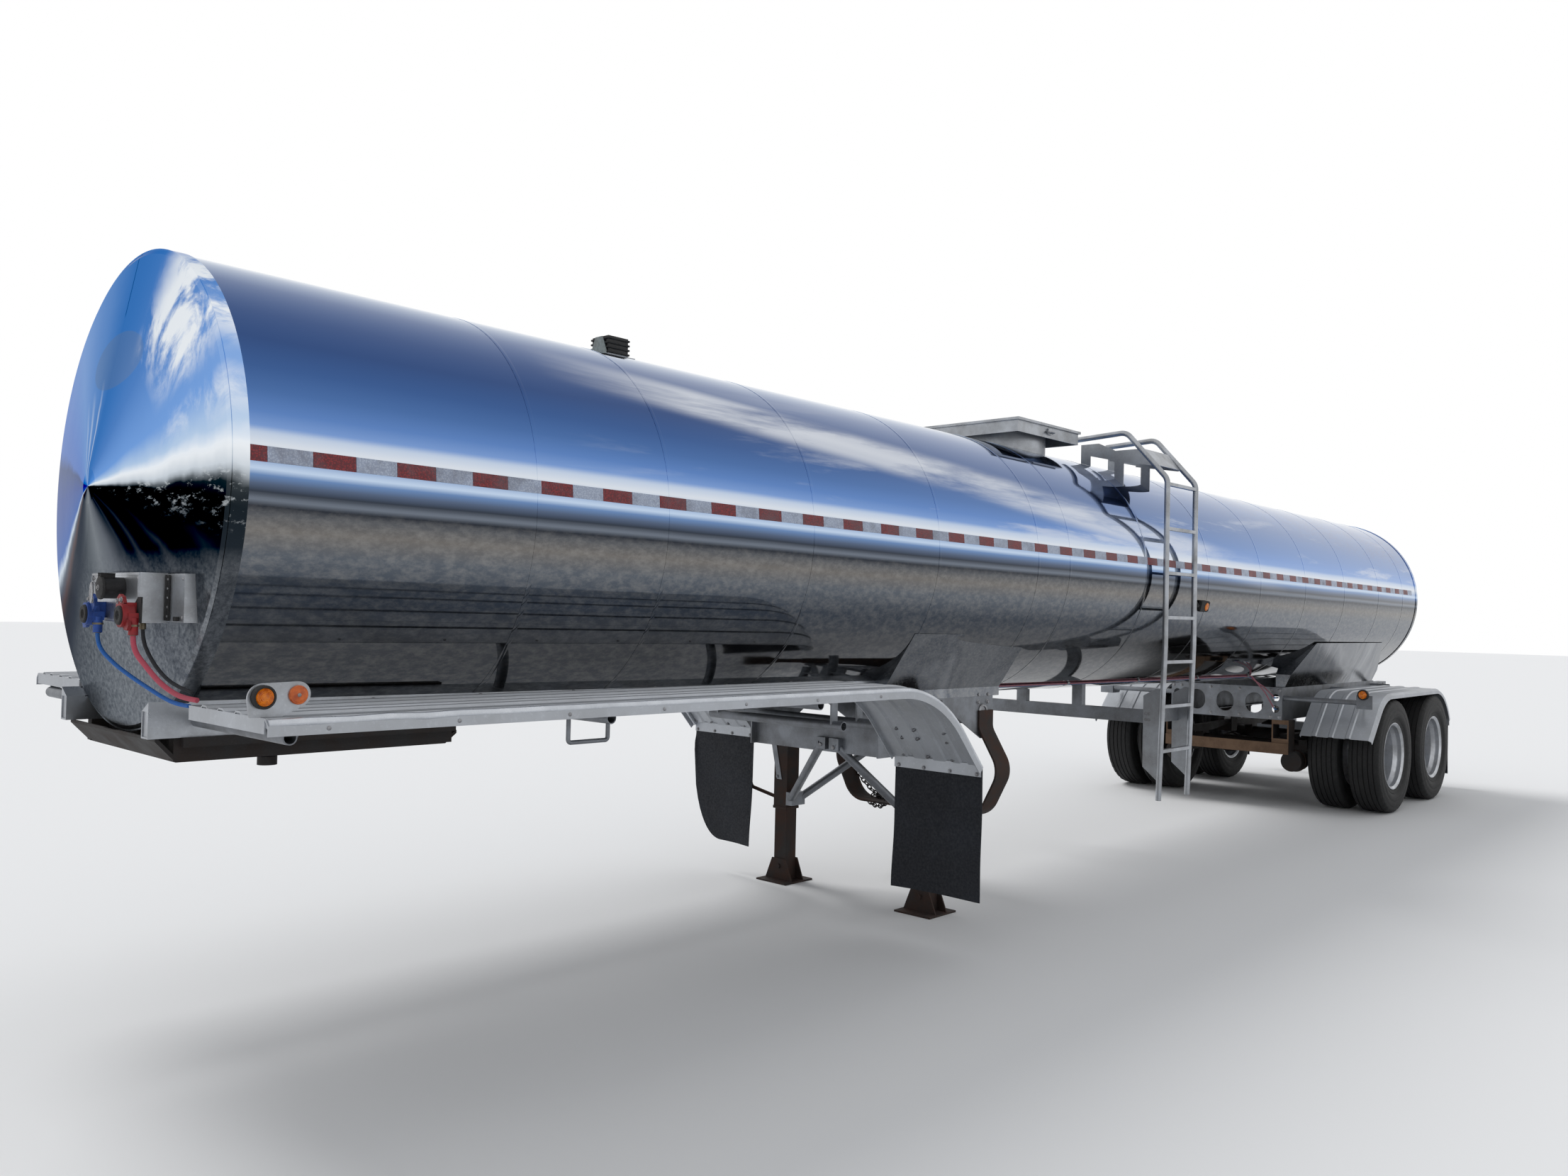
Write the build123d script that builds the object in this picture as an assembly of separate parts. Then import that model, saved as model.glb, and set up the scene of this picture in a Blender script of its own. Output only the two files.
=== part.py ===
from build123d import *
import math
import os

# A food-grade tanker trailer standing on its landing legs and its two rear
# axles.  Millimetres, +X forward, +Y to the driver's side, +Z up, ground at
# Z = 0.  Lengths along the trailer are stations, counted backwards from the
# front edge of the tank.

# Driving dimensions
FRONT_EDGE_X = 6148.6        # X of the tank's front edge, station 0
TANK_RADIUS = 832.5          # outside of the jacket
TANK_LENGTH = 12354.0        # from the front edge to the rear edge
BELLY_HEIGHT = 1202.5        # lowest line of the tank at station 0
AXIS_HEIGHT = BELLY_HEIGHT + TANK_RADIUS
AXIS_FALL = 0.00695          # the tank falls this much per unit of length to its drain
HEAD_DEPTH = 150.0           # shallow cone of each end
HEAD_TIP_RADIUS = 60.0
HEAD_EDGE = 10.0
BAND_WIDTH = 42.0            # rim bands at both ends
BAND_THICKNESS = 5.0
SEAT_GAP = 0.3               # between a piece and the one it rests on

TRACK_OUTER = 1155.0         # middle of an outer tyre
TRACK_INNER = 812.0          # middle of an inner tyre
TYRE_RADIUS = 507.0
TYRE_WIDTH = 272.0
RIM_RADIUS = 286.0           # bead seat of the wheel
RIM_LIP = 298.5
AXLE_STATIONS = {"front": TANK_LENGTH - 2304.0, "rear": TANK_LENGTH - 1059.0}
SIDES = {"left": 1, "right": -1}
RUN_CLEAR = 6.0              # between turning and standing pieces

RAIL_INNER = 380.0           # long box rails under the front of the tank
RAIL_OUTER = 436.0
RAIL_BOTTOM = 1207.0
RAIL_TOP = AXIS_HEIGHT - math.sqrt(TANK_RADIUS ** 2 - RAIL_OUTER ** 2) + 4.2
RAIL_FRONT = -86.0
RAIL_REAR = 4720.0


def x_at(station):
    """X of a station."""
    return FRONT_EDGE_X - station


def axis_z(station):
    """Height of the tank's axis at a station."""
    return AXIS_HEIGHT - AXIS_FALL * station


def block(s0, s1, y0, y1, z0, z1):
    """Box between two stations, two Y values and two heights."""
    return Pos(x_at((s0 + s1) / 2), (y0 + y1) / 2, (z0 + z1) / 2) * Box(
        abs(s1 - s0), abs(y1 - y0), abs(z1 - z0))


def rod_y(station, y0, y1, z, radius):
    """Round bar across the trailer."""
    return Pos(x_at(station), (y0 + y1) / 2, z) * Rot(90, 0, 0) * Cylinder(radius, abs(y1 - y0))


def rod_x(s0, s1, y, z, radius):
    """Round bar along the trailer."""
    return Pos(x_at((s0 + s1) / 2), y, z) * Rot(0, 90, 0) * Cylinder(radius, abs(s1 - s0))


def rod_z(station, y, z0, z1, radius):
    """Upright round bar."""
    return Pos(x_at(station), y, (z0 + z1) / 2) * Cylinder(radius, abs(z1 - z0))


def bar(p, q, radius):
    """Round bar from point p to point q."""
    p, q = Vector(*p), Vector(*q)
    plane = Plane(origin=p, z_dir=(q - p))
    return plane * Cylinder(radius, (q - p).length, align=(Align.CENTER, Align.CENTER, Align.MIN))


def side_plate(points, y0, y1):
    """Plate with an outline in stations and heights, from y0 to y1."""
    face = make_face(Polyline(*[(x_at(s), 0, z) for s, z in points], close=True))
    face = Pos(0, min(y0, y1), 0) * face
    return extrude(face, amount=abs(y1 - y0), dir=(0, 1, 0))


def cross_plate(points, s0, s1):
    """Plate with an outline in Y and heights, between two stations."""
    face = make_face(Polyline(*[(0, y, z) for y, z in points], close=True))
    face = Pos(x_at(max(s0, s1)), 0, 0) * face
    return extrude(face, amount=abs(s1 - s0), dir=(1, 0, 0))


def pipe(points, radii, radius):
    """Bent round bar along points, with one bend radius for each corner."""
    line = FilletPolyline(*points, radius=radii) if len(points) > 2 else Line(*points)
    start = Plane(origin=line @ 0, z_dir=line % 0)
    return sweep(start * Circle(radius), path=line)


def tank_plane(station):
    """Plane square to the tank's axis, looking to the rear."""
    return Plane(origin=(x_at(station), 0, axis_z(station)), z_dir=(-1, 0, -AXIS_FALL), x_dir=(0, 1, 0))


def tank_cylinder(s0, s1, radius):
    """Cylinder on the tank's axis between two stations."""
    return tank_plane(s0) * Cylinder(radius, s1 - s0, align=(Align.CENTER, Align.CENTER, Align.MIN))


TANK_TOOL = tank_cylinder(-600, TANK_LENGTH + 600, TANK_RADIUS + SEAT_GAP)


def off_tank(shape):
    """A piece cut to sit on the jacket."""
    return shape - TANK_TOOL


def mirrored(shape):
    """The same piece on the other side."""
    return mirror(shape, about=Plane.XZ)


def save(name, shape):
    shape.label = name
    export_step(shape, os.path.join("parts", name + ".step"))


def save_sides(name, shape):
    """Writes the left piece and its mirror image."""
    save(name + "_left", shape)
    save(name + "_right", mirrored(shape))


def group(*shapes):
    """Separate solids as one piece."""
    return Compound(children=[solid for shape in shapes for solid in shape.solids()])


def save_pair(name, shape):
    """Writes a piece and its mirror image as one piece of two halves."""
    save(name, group(shape, mirrored(shape)))


os.makedirs("parts", exist_ok=True)

# Tank
save("tank_barrel", tank_cylinder(0, TANK_LENGTH, TANK_RADIUS))


def head(station, depth):
    """Shallow cone with a turned edge that closes one end of the tank."""
    profile = make_face(Polyline(
        (0, 0), (TANK_RADIUS, 0), (TANK_RADIUS, HEAD_EDGE), (TANK_RADIUS - 14, HEAD_EDGE + 8),
        (HEAD_TIP_RADIUS, depth), (0, depth + 3), close=True))
    solid = revolve(Plane.XZ * profile, axis=Axis.Z)
    direction = 1 if station == 0 else -1
    plane = Plane(origin=(x_at(station), 0, axis_z(station)), z_dir=(direction, 0, direction * AXIS_FALL))
    return plane * solid


def rim_band(s0, s1):
    """Rim band that laps from a head over the jacket."""
    return tank_cylinder(s0, s1, TANK_RADIUS + SEAT_GAP + BAND_THICKNESS) - tank_cylinder(0, TANK_LENGTH, TANK_RADIUS + SEAT_GAP)


front_head = head(0, HEAD_DEPTH) + rim_band(-HEAD_EDGE, BAND_WIDTH)
save("front_head", front_head)
save("rear_head", head(TANK_LENGTH, HEAD_DEPTH) + rim_band(TANK_LENGTH - BAND_WIDTH, TANK_LENGTH + HEAD_EDGE))
BAND_TOOL = tank_cylinder(-20, BAND_WIDTH + SEAT_GAP, TANK_RADIUS + BAND_THICKNESS + 2 * SEAT_GAP)

# Manhole with its square dust cover
COVER_FRONT = 5125.0
COVER_REAR = 5935.0
COVER_HALF = 383.0
COVER_RISE = 140.9335        # top of the cover above the tank
COVER_TOP = axis_z((COVER_FRONT + COVER_REAR) / 2) + TANK_RADIUS + COVER_RISE
COVER_DEPTH = 92.0
COVER_SHEET = 6.0
COVER_LIP = 14.0
COLLAR_RADIUS = 295.0
COLLAR_WALL = 14.0
cover_mid = (COVER_FRONT + COVER_REAR) / 2
HINGE_Y = -COVER_HALF - 16
HINGE_Z = COVER_TOP - COVER_DEPTH + 14
HINGE_PIN = 8.0
cover_skirt = block(COVER_FRONT + COVER_LIP, COVER_REAR - COVER_LIP, -COVER_HALF + COVER_LIP, COVER_HALF - COVER_LIP,
                    COVER_TOP - COVER_DEPTH, COVER_TOP - 16)
cover_plate = block(COVER_FRONT, COVER_REAR, -COVER_HALF, COVER_HALF, COVER_TOP - 16, COVER_TOP)
cover_hollow = block(COVER_FRONT + COVER_LIP + COVER_SHEET, COVER_REAR - COVER_LIP - COVER_SHEET,
                     -COVER_HALF + COVER_LIP + COVER_SHEET, COVER_HALF - COVER_LIP - COVER_SHEET,
                     COVER_TOP - COVER_DEPTH - 1, COVER_TOP - COVER_SHEET)
cover = cover_skirt + cover_plate - cover_hollow
HINGE_STATIONS = (COVER_FRONT + 160, COVER_REAR - 160)
for station in HINGE_STATIONS:
    arm = block(station - 30, station + 30, HINGE_Y, -COVER_HALF + COVER_LIP + 1, HINGE_Z - 8, HINGE_Z + 8)
    eye = Pos(x_at(station), HINGE_Y, HINGE_Z) * Rot(0, 90, 0) * Cylinder(16, 60)
    bore = Pos(x_at(station), HINGE_Y, HINGE_Z) * Rot(0, 90, 0) * Cylinder(HINGE_PIN + 0.05, 62)
    cover = cover + arm + eye - bore
latch = block(cover_mid - 25, cover_mid + 25, COVER_HALF - COVER_LIP, COVER_HALF - 2, COVER_TOP - 70, COVER_TOP - 30)
cover = cover + latch
save("manhole_cover", cover)

collar_top = COVER_TOP - 40
collar_base = axis_z(cover_mid) + TANK_RADIUS - 220
collar = Pos(x_at(cover_mid), 0, collar_base) * extrude(Circle(COLLAR_RADIUS) - Circle(COLLAR_RADIUS - COLLAR_WALL), amount=collar_top - collar_base)
inner_lid = Pos(x_at(cover_mid), 0, collar_top - 40) * Cylinder(COLLAR_RADIUS - COLLAR_WALL, 12)
brackets = block(cover_mid - 60, cover_mid + 60, HINGE_Y, -COLLAR_RADIUS + 10, collar_base, HINGE_Z - 87)
for station in HINGE_STATIONS:
    for offset in (-1, 1):
        cheek = block(station + offset * 42 - 6, station + offset * 42 + 6, HINGE_Y - 16, HINGE_Y + 16, collar_base, HINGE_Z + 16)
        brackets = brackets + cheek
    pin = Pos(x_at(station), HINGE_Y, HINGE_Z) * Rot(0, 90, 0) * Cylinder(HINGE_PIN, 104)
    brackets = brackets + pin
brackets = brackets + block(HINGE_STATIONS[0] - 48, HINGE_STATIONS[1] + 48, HINGE_Y - 22, HINGE_Y + 22, collar_base, HINGE_Z - 132)
save("manhole_collar", off_tank(collar + inner_lid + brackets))

# Vent near the front of the tank's top
VENT_STATION = 2080.0
VENT_HALF = 60.0
VENT_HEIGHT = 105.0
vent_seat = axis_z(VENT_STATION) + TANK_RADIUS
vent = block(VENT_STATION - VENT_HALF, VENT_STATION + VENT_HALF, -VENT_HALF, VENT_HALF, vent_seat - 60, vent_seat + VENT_HEIGHT)
vent = vent + block(VENT_STATION - 85, VENT_STATION + 85, -85, 85, vent_seat - 60, vent_seat + 12)
save("top_vent", off_tank(vent))

# Ladder on the driver's side, with handrails that bend over the top of the tank
LADDER_FRONT = 6212.0
LADDER_WIDTH = 452.0
LADDER_Y = TANK_RADIUS + 60.5
STILE_RADIUS = 19.0
LADDER_BOTTOM = 440.0
LADDER_TOP = 2640.0
RAIL_KNEE_Y = 585.0
RAIL_TOP_Z = 2985.0
RAIL_END_Y = 195.0
RUNG_PITCH = 305.0
RUNG_COUNT = 7
RUNG_FIRST = 775.0
RUNG_HALF = 15.0
RUNG_HEIGHT = 22.0
STANDOFF = 150.0
PLATE_HALF = 4.0
LADDER_STATIONS = (LADDER_FRONT, LADDER_FRONT + LADDER_WIDTH)
LEAN_TOP = 1500.0            # below this the ladder leans in under the tank
LEAN = 0.031


def ladder_y(z):
    """Y of the stiles at a height."""
    return LADDER_Y - LEAN * max(0.0, LEAN_TOP - z)


ladder = None
for station in LADDER_STATIONS:
    route = [(x_at(station), ladder_y(LADDER_BOTTOM), LADDER_BOTTOM), (x_at(station), LADDER_Y, LEAN_TOP), (x_at(station), LADDER_Y, LADDER_TOP),
             (x_at(station), RAIL_KNEE_Y, RAIL_TOP_Z), (x_at(station), RAIL_END_Y, RAIL_TOP_Z - 22)]
    stile = pipe(route, [900, 90, 90], STILE_RADIUS)
    ladder = stile if ladder is None else ladder + stile
for index in range(RUNG_COUNT):
    z = RUNG_FIRST + index * RUNG_PITCH
    ladder = ladder + block(*LADDER_STATIONS, ladder_y(z) - RUNG_HALF, ladder_y(z) + RUNG_HALF, z - RUNG_HEIGHT / 2, z + RUNG_HEIGHT / 2)
for station in LADDER_STATIONS:
    outline = [(ladder_y(560), 560), (ladder_y(1200), 1200), (LADDER_Y - 60, 1200), (LADDER_Y - STANDOFF, 1150), (LADDER_Y - STANDOFF, 660)]
    ladder = ladder + cross_plate(outline, station - PLATE_HALF, station + PLATE_HALF)
save("ladder", off_tank(ladder))

# Step beside the manhole, on a windowed cross plate
STEP_FRONT = LADDER_FRONT - 6.0
STEP_REAR = LADDER_STATIONS[1] + 6.0
STEP_SHEET = 5.0
BRACKET_INNER = 222.0
BRACKET_OUTER = 556.0
BRACKET_TOP = 2928.0
STEP_EDGE = 785.0
step_end = [(BRACKET_OUTER - 110, 2796), (BRACKET_OUTER - 110, 2866), (700, 2866), (STEP_EDGE, 2750), (STEP_EDGE - 12, 2742)]
tread = [(BRACKET_OUTER - 110, 2861), (BRACKET_OUTER - 110, 2866), (700, 2866), (STEP_EDGE, 2750), (STEP_EDGE - 5, 2747), (697, 2861)]
clear_of_stiles = STILE_RADIUS + 8
front_end = cross_plate(step_end, STEP_FRONT + clear_of_stiles, STEP_FRONT + clear_of_stiles + STEP_SHEET)
rear_end = cross_plate(step_end, STEP_REAR - clear_of_stiles - STEP_SHEET, STEP_REAR - clear_of_stiles)
step = cross_plate(tread, STEP_FRONT + clear_of_stiles, STEP_REAR - clear_of_stiles) + front_end + rear_end
for station in (STEP_FRONT + clear_of_stiles, STEP_REAR - clear_of_stiles - STEP_SHEET):
    outer = [(BRACKET_INNER, 2500), (BRACKET_INNER, BRACKET_TOP), (BRACKET_INNER + 140, BRACKET_TOP), (BRACKET_OUTER - 100, 2885),
             (BRACKET_OUTER, 2830), (BRACKET_OUTER, 2500)]
    window = [(BRACKET_INNER + 75, 2500), (BRACKET_INNER + 75, 2842), (BRACKET_OUTER - 70, 2796), (BRACKET_OUTER - 70, 2500)]
    web = cross_plate(outer, station, station + STEP_SHEET)
    web = web - cross_plate(window, station - 1, station + STEP_SHEET + 1)
    step = step + web
save("walkway_step", off_tank(step))

# Cross beam that braces the ladder under the tank
BEAM_TOP = 1050.0
BEAM_BOTTOM = 960.0
BEAM_WIDTH = 50.0
beam_front = LADDER_FRONT + PLATE_HALF + SEAT_GAP
beam_half = LADDER_Y - STILE_RADIUS - 84
beam = block(beam_front, beam_front + BEAM_WIDTH, -beam_half, beam_half, BEAM_BOTTOM, BEAM_TOP)
beam = beam + block(beam_front, LADDER_STATIONS[1] - PLATE_HALF - SEAT_GAP, beam_half - BEAM_WIDTH, beam_half, BEAM_BOTTOM, BEAM_TOP)
for y in (-560, -230, 230):
    beam = beam + block(beam_front, beam_front + BEAM_WIDTH, y - 40, y + 40, BEAM_TOP, 1500)
save("ladder_beam", off_tank(beam) - ladder)

# Upper coupler plate with its ramped front and side flanges
COUPLER_HALF = 420.0
COUPLER_BOTTOM = 1125.0
COUPLER_PLATE = 12.0
coupler_outline = [
    (-58, 1196), (8, COUPLER_BOTTOM), (993, COUPLER_BOTTOM), (1041, 1162), (1041, 1174),
    (986, COUPLER_BOTTOM + COUPLER_PLATE), (14, COUPLER_BOTTOM + COUPLER_PLATE), (-50, 1206), (-58, 1206)]
coupler = side_plate(coupler_outline, -COUPLER_HALF, COUPLER_HALF)
for sign in (1, -1):
    coupler = coupler + block(0, 1020, sign * RAIL_INNER, sign * COUPLER_HALF, COUPLER_BOTTOM + 4, RAIL_BOTTOM)
    coupler = coupler + block(20, 1020, sign * (COUPLER_HALF - 2), sign * 450, 1175, RAIL_BOTTOM)
for station in (60, 420, 560, 900):
    coupler = coupler + block(station, station + 10, -RAIL_INNER - 1, RAIL_INNER + 1, COUPLER_BOTTOM + 4, RAIL_BOTTOM - 10)
save("upper_coupler", off_tank(coupler))

KINGPIN_STATION = 490.0
KINGPIN_NECK = 25.4
pin = Pos(x_at(KINGPIN_STATION), 0, COUPLER_BOTTOM) * Cylinder(36.5, 16, align=(Align.CENTER, Align.CENTER, Align.MAX))
pin = pin + Pos(x_at(KINGPIN_STATION), 0, COUPLER_BOTTOM - 16) * Cylinder(KINGPIN_NECK, 37, align=(Align.CENTER, Align.CENTER, Align.MAX))
pin = pin + Pos(x_at(KINGPIN_STATION), 0, COUPLER_BOTTOM - 53) * Cylinder(35.7, 32, align=(Align.CENTER, Align.CENTER, Align.MAX))
save("kingpin", pin)

rail = block(RAIL_FRONT, RAIL_REAR, RAIL_INNER, RAIL_OUTER, RAIL_BOTTOM, RAIL_TOP)
rail = rail - block(RAIL_FRONT - 1, RAIL_FRONT + 300, RAIL_INNER + 6, RAIL_OUTER - 6, RAIL_BOTTOM + 6, RAIL_TOP - 36)
save_pair("frame_rails", off_tank(rail) - BAND_TOOL)

# Front fenders: a beaded deck with a rolled outer edge that curves down to the flap
DECK_TOP = 1334.0
DECK_FRONT = {"left": -63.0, "right": 50.0}
DECK_INNER = 705.0
DECK_OUTER = 1262.0
DECK_SHEET = 5.0
DECK_EDGE = 50.0
CURVE_RADIUS = 646.0
CURVE_ANGLE = 48.0
TAIL_LENGTH = 257.0          # straight end that the flap hangs from
CURVE_STATION = {"left": 2803.0, "right": 3216.0}


def deck_profile(inner, outer, top, edge, sheet, beads):
    """Section of a fender in Y and height, with raised beads and a turned-down edge."""
    upper = [(inner, top - edge * 0.5), (inner, top)]
    for y in beads:
        upper += [(y - 24, top), (y - 14, top + 8), (y + 14, top + 8), (y + 24, top)]
    upper += [(outer - 22, top), (outer, top - 20), (outer, top - edge)]
    lower = [(outer - sheet, top - edge), (outer - sheet, top - 22), (outer - 24, top - sheet)]
    for y in reversed(beads):
        lower += [(y + 24, top - sheet), (y + 14, top + 8 - sheet), (y - 14, top + 8 - sheet), (y - 24, top - sheet)]
    lower += [(inner + sheet, top - sheet), (inner + sheet, top - edge * 0.5)]
    return upper + lower


FRONT_BEADS = tuple(DECK_INNER + (DECK_OUTER - DECK_INNER) * part / 557 for part in (115, 235, 355, 445))


def front_fender(deck_front, curve_station):
    section = deck_profile(DECK_INNER, DECK_OUTER, DECK_TOP, DECK_EDGE, DECK_SHEET, FRONT_BEADS)
    flat = cross_plate(section, deck_front, curve_station)
    flat = flat + block(deck_front, deck_front + DECK_SHEET, DECK_INNER, DECK_OUTER - 24, DECK_TOP - DECK_EDGE + 6, DECK_TOP - 1)
    face = make_face(Polyline(*[(x_at(curve_station), y, z) for y, z in section], close=True))
    centre = Axis((x_at(curve_station), 0, DECK_TOP - CURVE_RADIUS), (0, -1, 0))
    curve = revolve(face, axis=centre, revolution_arc=CURVE_ANGLE)
    slope = math.radians(CURVE_ANGLE)
    tail = extrude(face.rotate(centre, CURVE_ANGLE), amount=TAIL_LENGTH, dir=(-math.cos(slope), 0, -math.sin(slope)))
    return flat + curve + tail


curve_angle = math.radians(CURVE_ANGLE)
FENDER_END = {side: CURVE_STATION[side] + CURVE_RADIUS * math.sin(curve_angle) + TAIL_LENGTH * math.cos(curve_angle) for side in SIDES}
END_Z = DECK_TOP - CURVE_RADIUS * (1 - math.cos(curve_angle)) - TAIL_LENGTH * math.sin(curve_angle)
FLAP_TOP = 916.0
FLAP_BOTTOM = {"left": 262.0, "right": 195.0}
FLAP_THICKNESS = 8.0
flaps = []
for side, sign in SIDES.items():
    fender = front_fender(DECK_FRONT[side], CURVE_STATION[side])
    holder_station = FENDER_END[side] - 8
    holder = block(holder_station, holder_station + 5, DECK_INNER + 12, DECK_OUTER - 14, FLAP_TOP - 40, END_Z + 8)
    fender = fender + holder
    flap_back = holder_station + DECK_SHEET + SEAT_GAP
    low = FLAP_BOTTOM[side]
    outline = [(DECK_INNER + 15, FLAP_TOP), (DECK_INNER + 15, low), (DECK_OUTER - 10, low), (DECK_OUTER - 10, FLAP_TOP)]
    if side == "right":      # worn round at its outer corner
        outline[2:3] = [(DECK_OUTER - 250, low), (DECK_OUTER - 130, low + 90), (DECK_OUTER - 40, low + 280), (DECK_OUTER - 14, low + 480)]
    flap = cross_plate(outline, flap_back, flap_back + FLAP_THICKNESS)
    if sign < 0:
        fender, flap = mirrored(fender), mirrored(flap)
    save("front_fender_" + side, fender)
    flaps.append(flap)
save("front_flaps", group(*flaps))

# Outrigger tubes that carry the front fenders, with a small step below the second one
TUBE_RADIUS = 22.0
TUBE_Z = 1262.0
TUBE_END = DECK_OUTER - 150
TUBE_STATIONS = (67.0, 1248.0, 2400.0)
tubes = None
for station in TUBE_STATIONS:
    tube = rod_y(station, RAIL_OUTER, TUBE_END, TUBE_Z, TUBE_RADIUS) - rod_y(station, RAIL_OUTER + 60, TUBE_END + 1, TUBE_Z, TUBE_RADIUS - 4)
    for y in (DECK_INNER + 55, TUBE_END - 12):
        post = block(station - 8, station + 28, y - 4, y + 4, TUBE_Z, DECK_TOP - DECK_SHEET - SEAT_GAP)
        tube = tube + (post - rod_y(station, RAIL_OUTER, TUBE_END + 1, TUBE_Z, TUBE_RADIUS - 2))
    tubes = tube if tubes is None else tubes + tube
step_y = TUBE_END - 20
STEP_LENGTH, STEP_Z = 176.0, 1182.0
stirrup = pipe([(x_at(TUBE_STATIONS[1] - STEP_LENGTH), step_y, DECK_TOP - 10), (x_at(TUBE_STATIONS[1] - STEP_LENGTH), step_y, STEP_Z),
                (x_at(TUBE_STATIONS[1]), step_y, STEP_Z), (x_at(TUBE_STATIONS[1]), step_y, TUBE_Z - TUBE_RADIUS + 2)], [12, 12], 8)
tubes_left = off_tank(tubes) - BAND_TOOL
stirrup = stirrup - block(900, 1400, step_y - 30, step_y + 30, DECK_TOP - DECK_SHEET - SEAT_GAP, DECK_TOP + 40) - tubes_left
save("fender_tubes", group(tubes_left, mirrored(tubes_left), stirrup))

# Marker lamps on the front corners of the decks
LAMP_FRONT, LAMP_REAR = DECK_FRONT["left"] + 2, DECK_FRONT["left"] + 102
LAMP_FACE = DECK_OUTER - 47
lamp = block(LAMP_FRONT - 36, LAMP_FRONT + 60, LAMP_FACE - 6, LAMP_FACE, DECK_TOP + SEAT_GAP, DECK_TOP + 57)
lamp = lamp + side_plate([(LAMP_FRONT, DECK_TOP + 11), (LAMP_REAR, DECK_TOP + 24), (LAMP_REAR, DECK_TOP + 98), (LAMP_FRONT, DECK_TOP + 95)], LAMP_FACE - 6, LAMP_FACE)
lamp = lamp + rod_y(LAMP_FRONT, LAMP_FACE - 6, LAMP_FACE, DECK_TOP + 53, 42) + rod_y(LAMP_REAR, LAMP_FACE - 6, LAMP_FACE, DECK_TOP + 61, 37)
lamp = lamp + rod_y(LAMP_FRONT, LAMP_FACE - 1, LAMP_FACE + 25, DECK_TOP + 57, 33) + rod_y(LAMP_REAR, LAMP_FACE - 1, LAMP_FACE + 11, DECK_TOP + 60, 27)
deck_lamp = lamp

# Landing gear
LEG_STATION = 3985.0
LEG_Y = 540.0
LEG_OUTER = 108.0
LEG_INNER = 94.0
LEG_STEP = 450.0
LEG_TOP = 1186.0
PLATE_Y = LEG_Y - LEG_OUTER / 2 - SEAT_GAP
FOOT_LENGTH, FOOT_WIDTH, FOOT_PLATE, FOOT_HEIGHT = 250.0, 245.0, 10.0, 138.0
GUSSET = 8.0
outer_tube = block(LEG_STATION - LEG_OUTER / 2, LEG_STATION + LEG_OUTER / 2, LEG_Y - LEG_OUTER / 2, LEG_Y + LEG_OUTER / 2, LEG_STEP, LEG_TOP)
inner_tube = block(LEG_STATION - LEG_INNER / 2, LEG_STATION + LEG_INNER / 2, LEG_Y - LEG_INNER / 2, LEG_Y + LEG_INNER / 2, FOOT_PLATE, LEG_STEP)
foot = block(LEG_STATION - FOOT_LENGTH / 2, LEG_STATION + FOOT_LENGTH / 2, LEG_Y - FOOT_WIDTH / 2, LEG_Y + FOOT_WIDTH / 2, 0, FOOT_PLATE)
for face in (LEG_STATION - LEG_INNER / 2 - GUSSET, LEG_STATION + LEG_INNER / 2):
    foot = foot + cross_plate([(LEG_Y - FOOT_WIDTH / 2 + 12, FOOT_PLATE), (LEG_Y + FOOT_WIDTH / 2 - 12, FOOT_PLATE), (LEG_Y + 58, FOOT_HEIGHT),
                               (LEG_Y - 58, FOOT_HEIGHT)], face, face + GUSSET)
foot = foot + rod_x(LEG_STATION - LEG_INNER / 2 - GUSSET - 10, LEG_STATION + LEG_INNER / 2 + GUSSET + 10, LEG_Y, 92, 14)
save_sides("landing_leg", outer_tube + inner_tube + foot)

FRAME_FRONT = 3640.0
FRAME_REAR = RAIL_REAR - 20
FRAME_SHEET = 10.0
frame = None
for sign in (1, -1):
    web = side_plate([(3600, RAIL_BOTTOM), (RAIL_REAR, RAIL_BOTTOM), (RAIL_REAR, 930), (4600, 930), (4300, 1090), (4100, 1090),
                      (3760, 880), (3600, 880)], sign * (PLATE_Y - FRAME_SHEET), sign * PLATE_Y)
    frame = web if frame is None else frame + web
frame = frame + block(FRAME_FRONT, FRAME_FRONT + FRAME_SHEET, -PLATE_Y, PLATE_Y, 880, 1060)
frame = frame + block(FRAME_REAR - FRAME_SHEET, FRAME_REAR, -PLATE_Y, PLATE_Y, 1000, 1180)
frame = off_tank(frame)
save("landing_frame", frame)

FENDER_STRUTS = ((3290.0, 1072.0, 500.0, 25.0), (3500.0, 1074.0, 630.0, 27.0))
cross_tubes = []
for station, z, half, radius in FENDER_STRUTS:
    tube = rod_y(station, -half, half, z, radius)
    tube = tube - rod_y(station, half - 60, half + 1, z, radius - 4) - rod_y(station, -half - 1, -half + 60, z, radius - 4)
    for sign in (1, -1):
        tube = tube + block(station - 24, station + 24, sign * (RAIL_OUTER - 12), sign * RAIL_OUTER, z, RAIL_BOTTOM)
    cross_tubes.append(tube)
save("cross_tubes", group(*cross_tubes))

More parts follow.
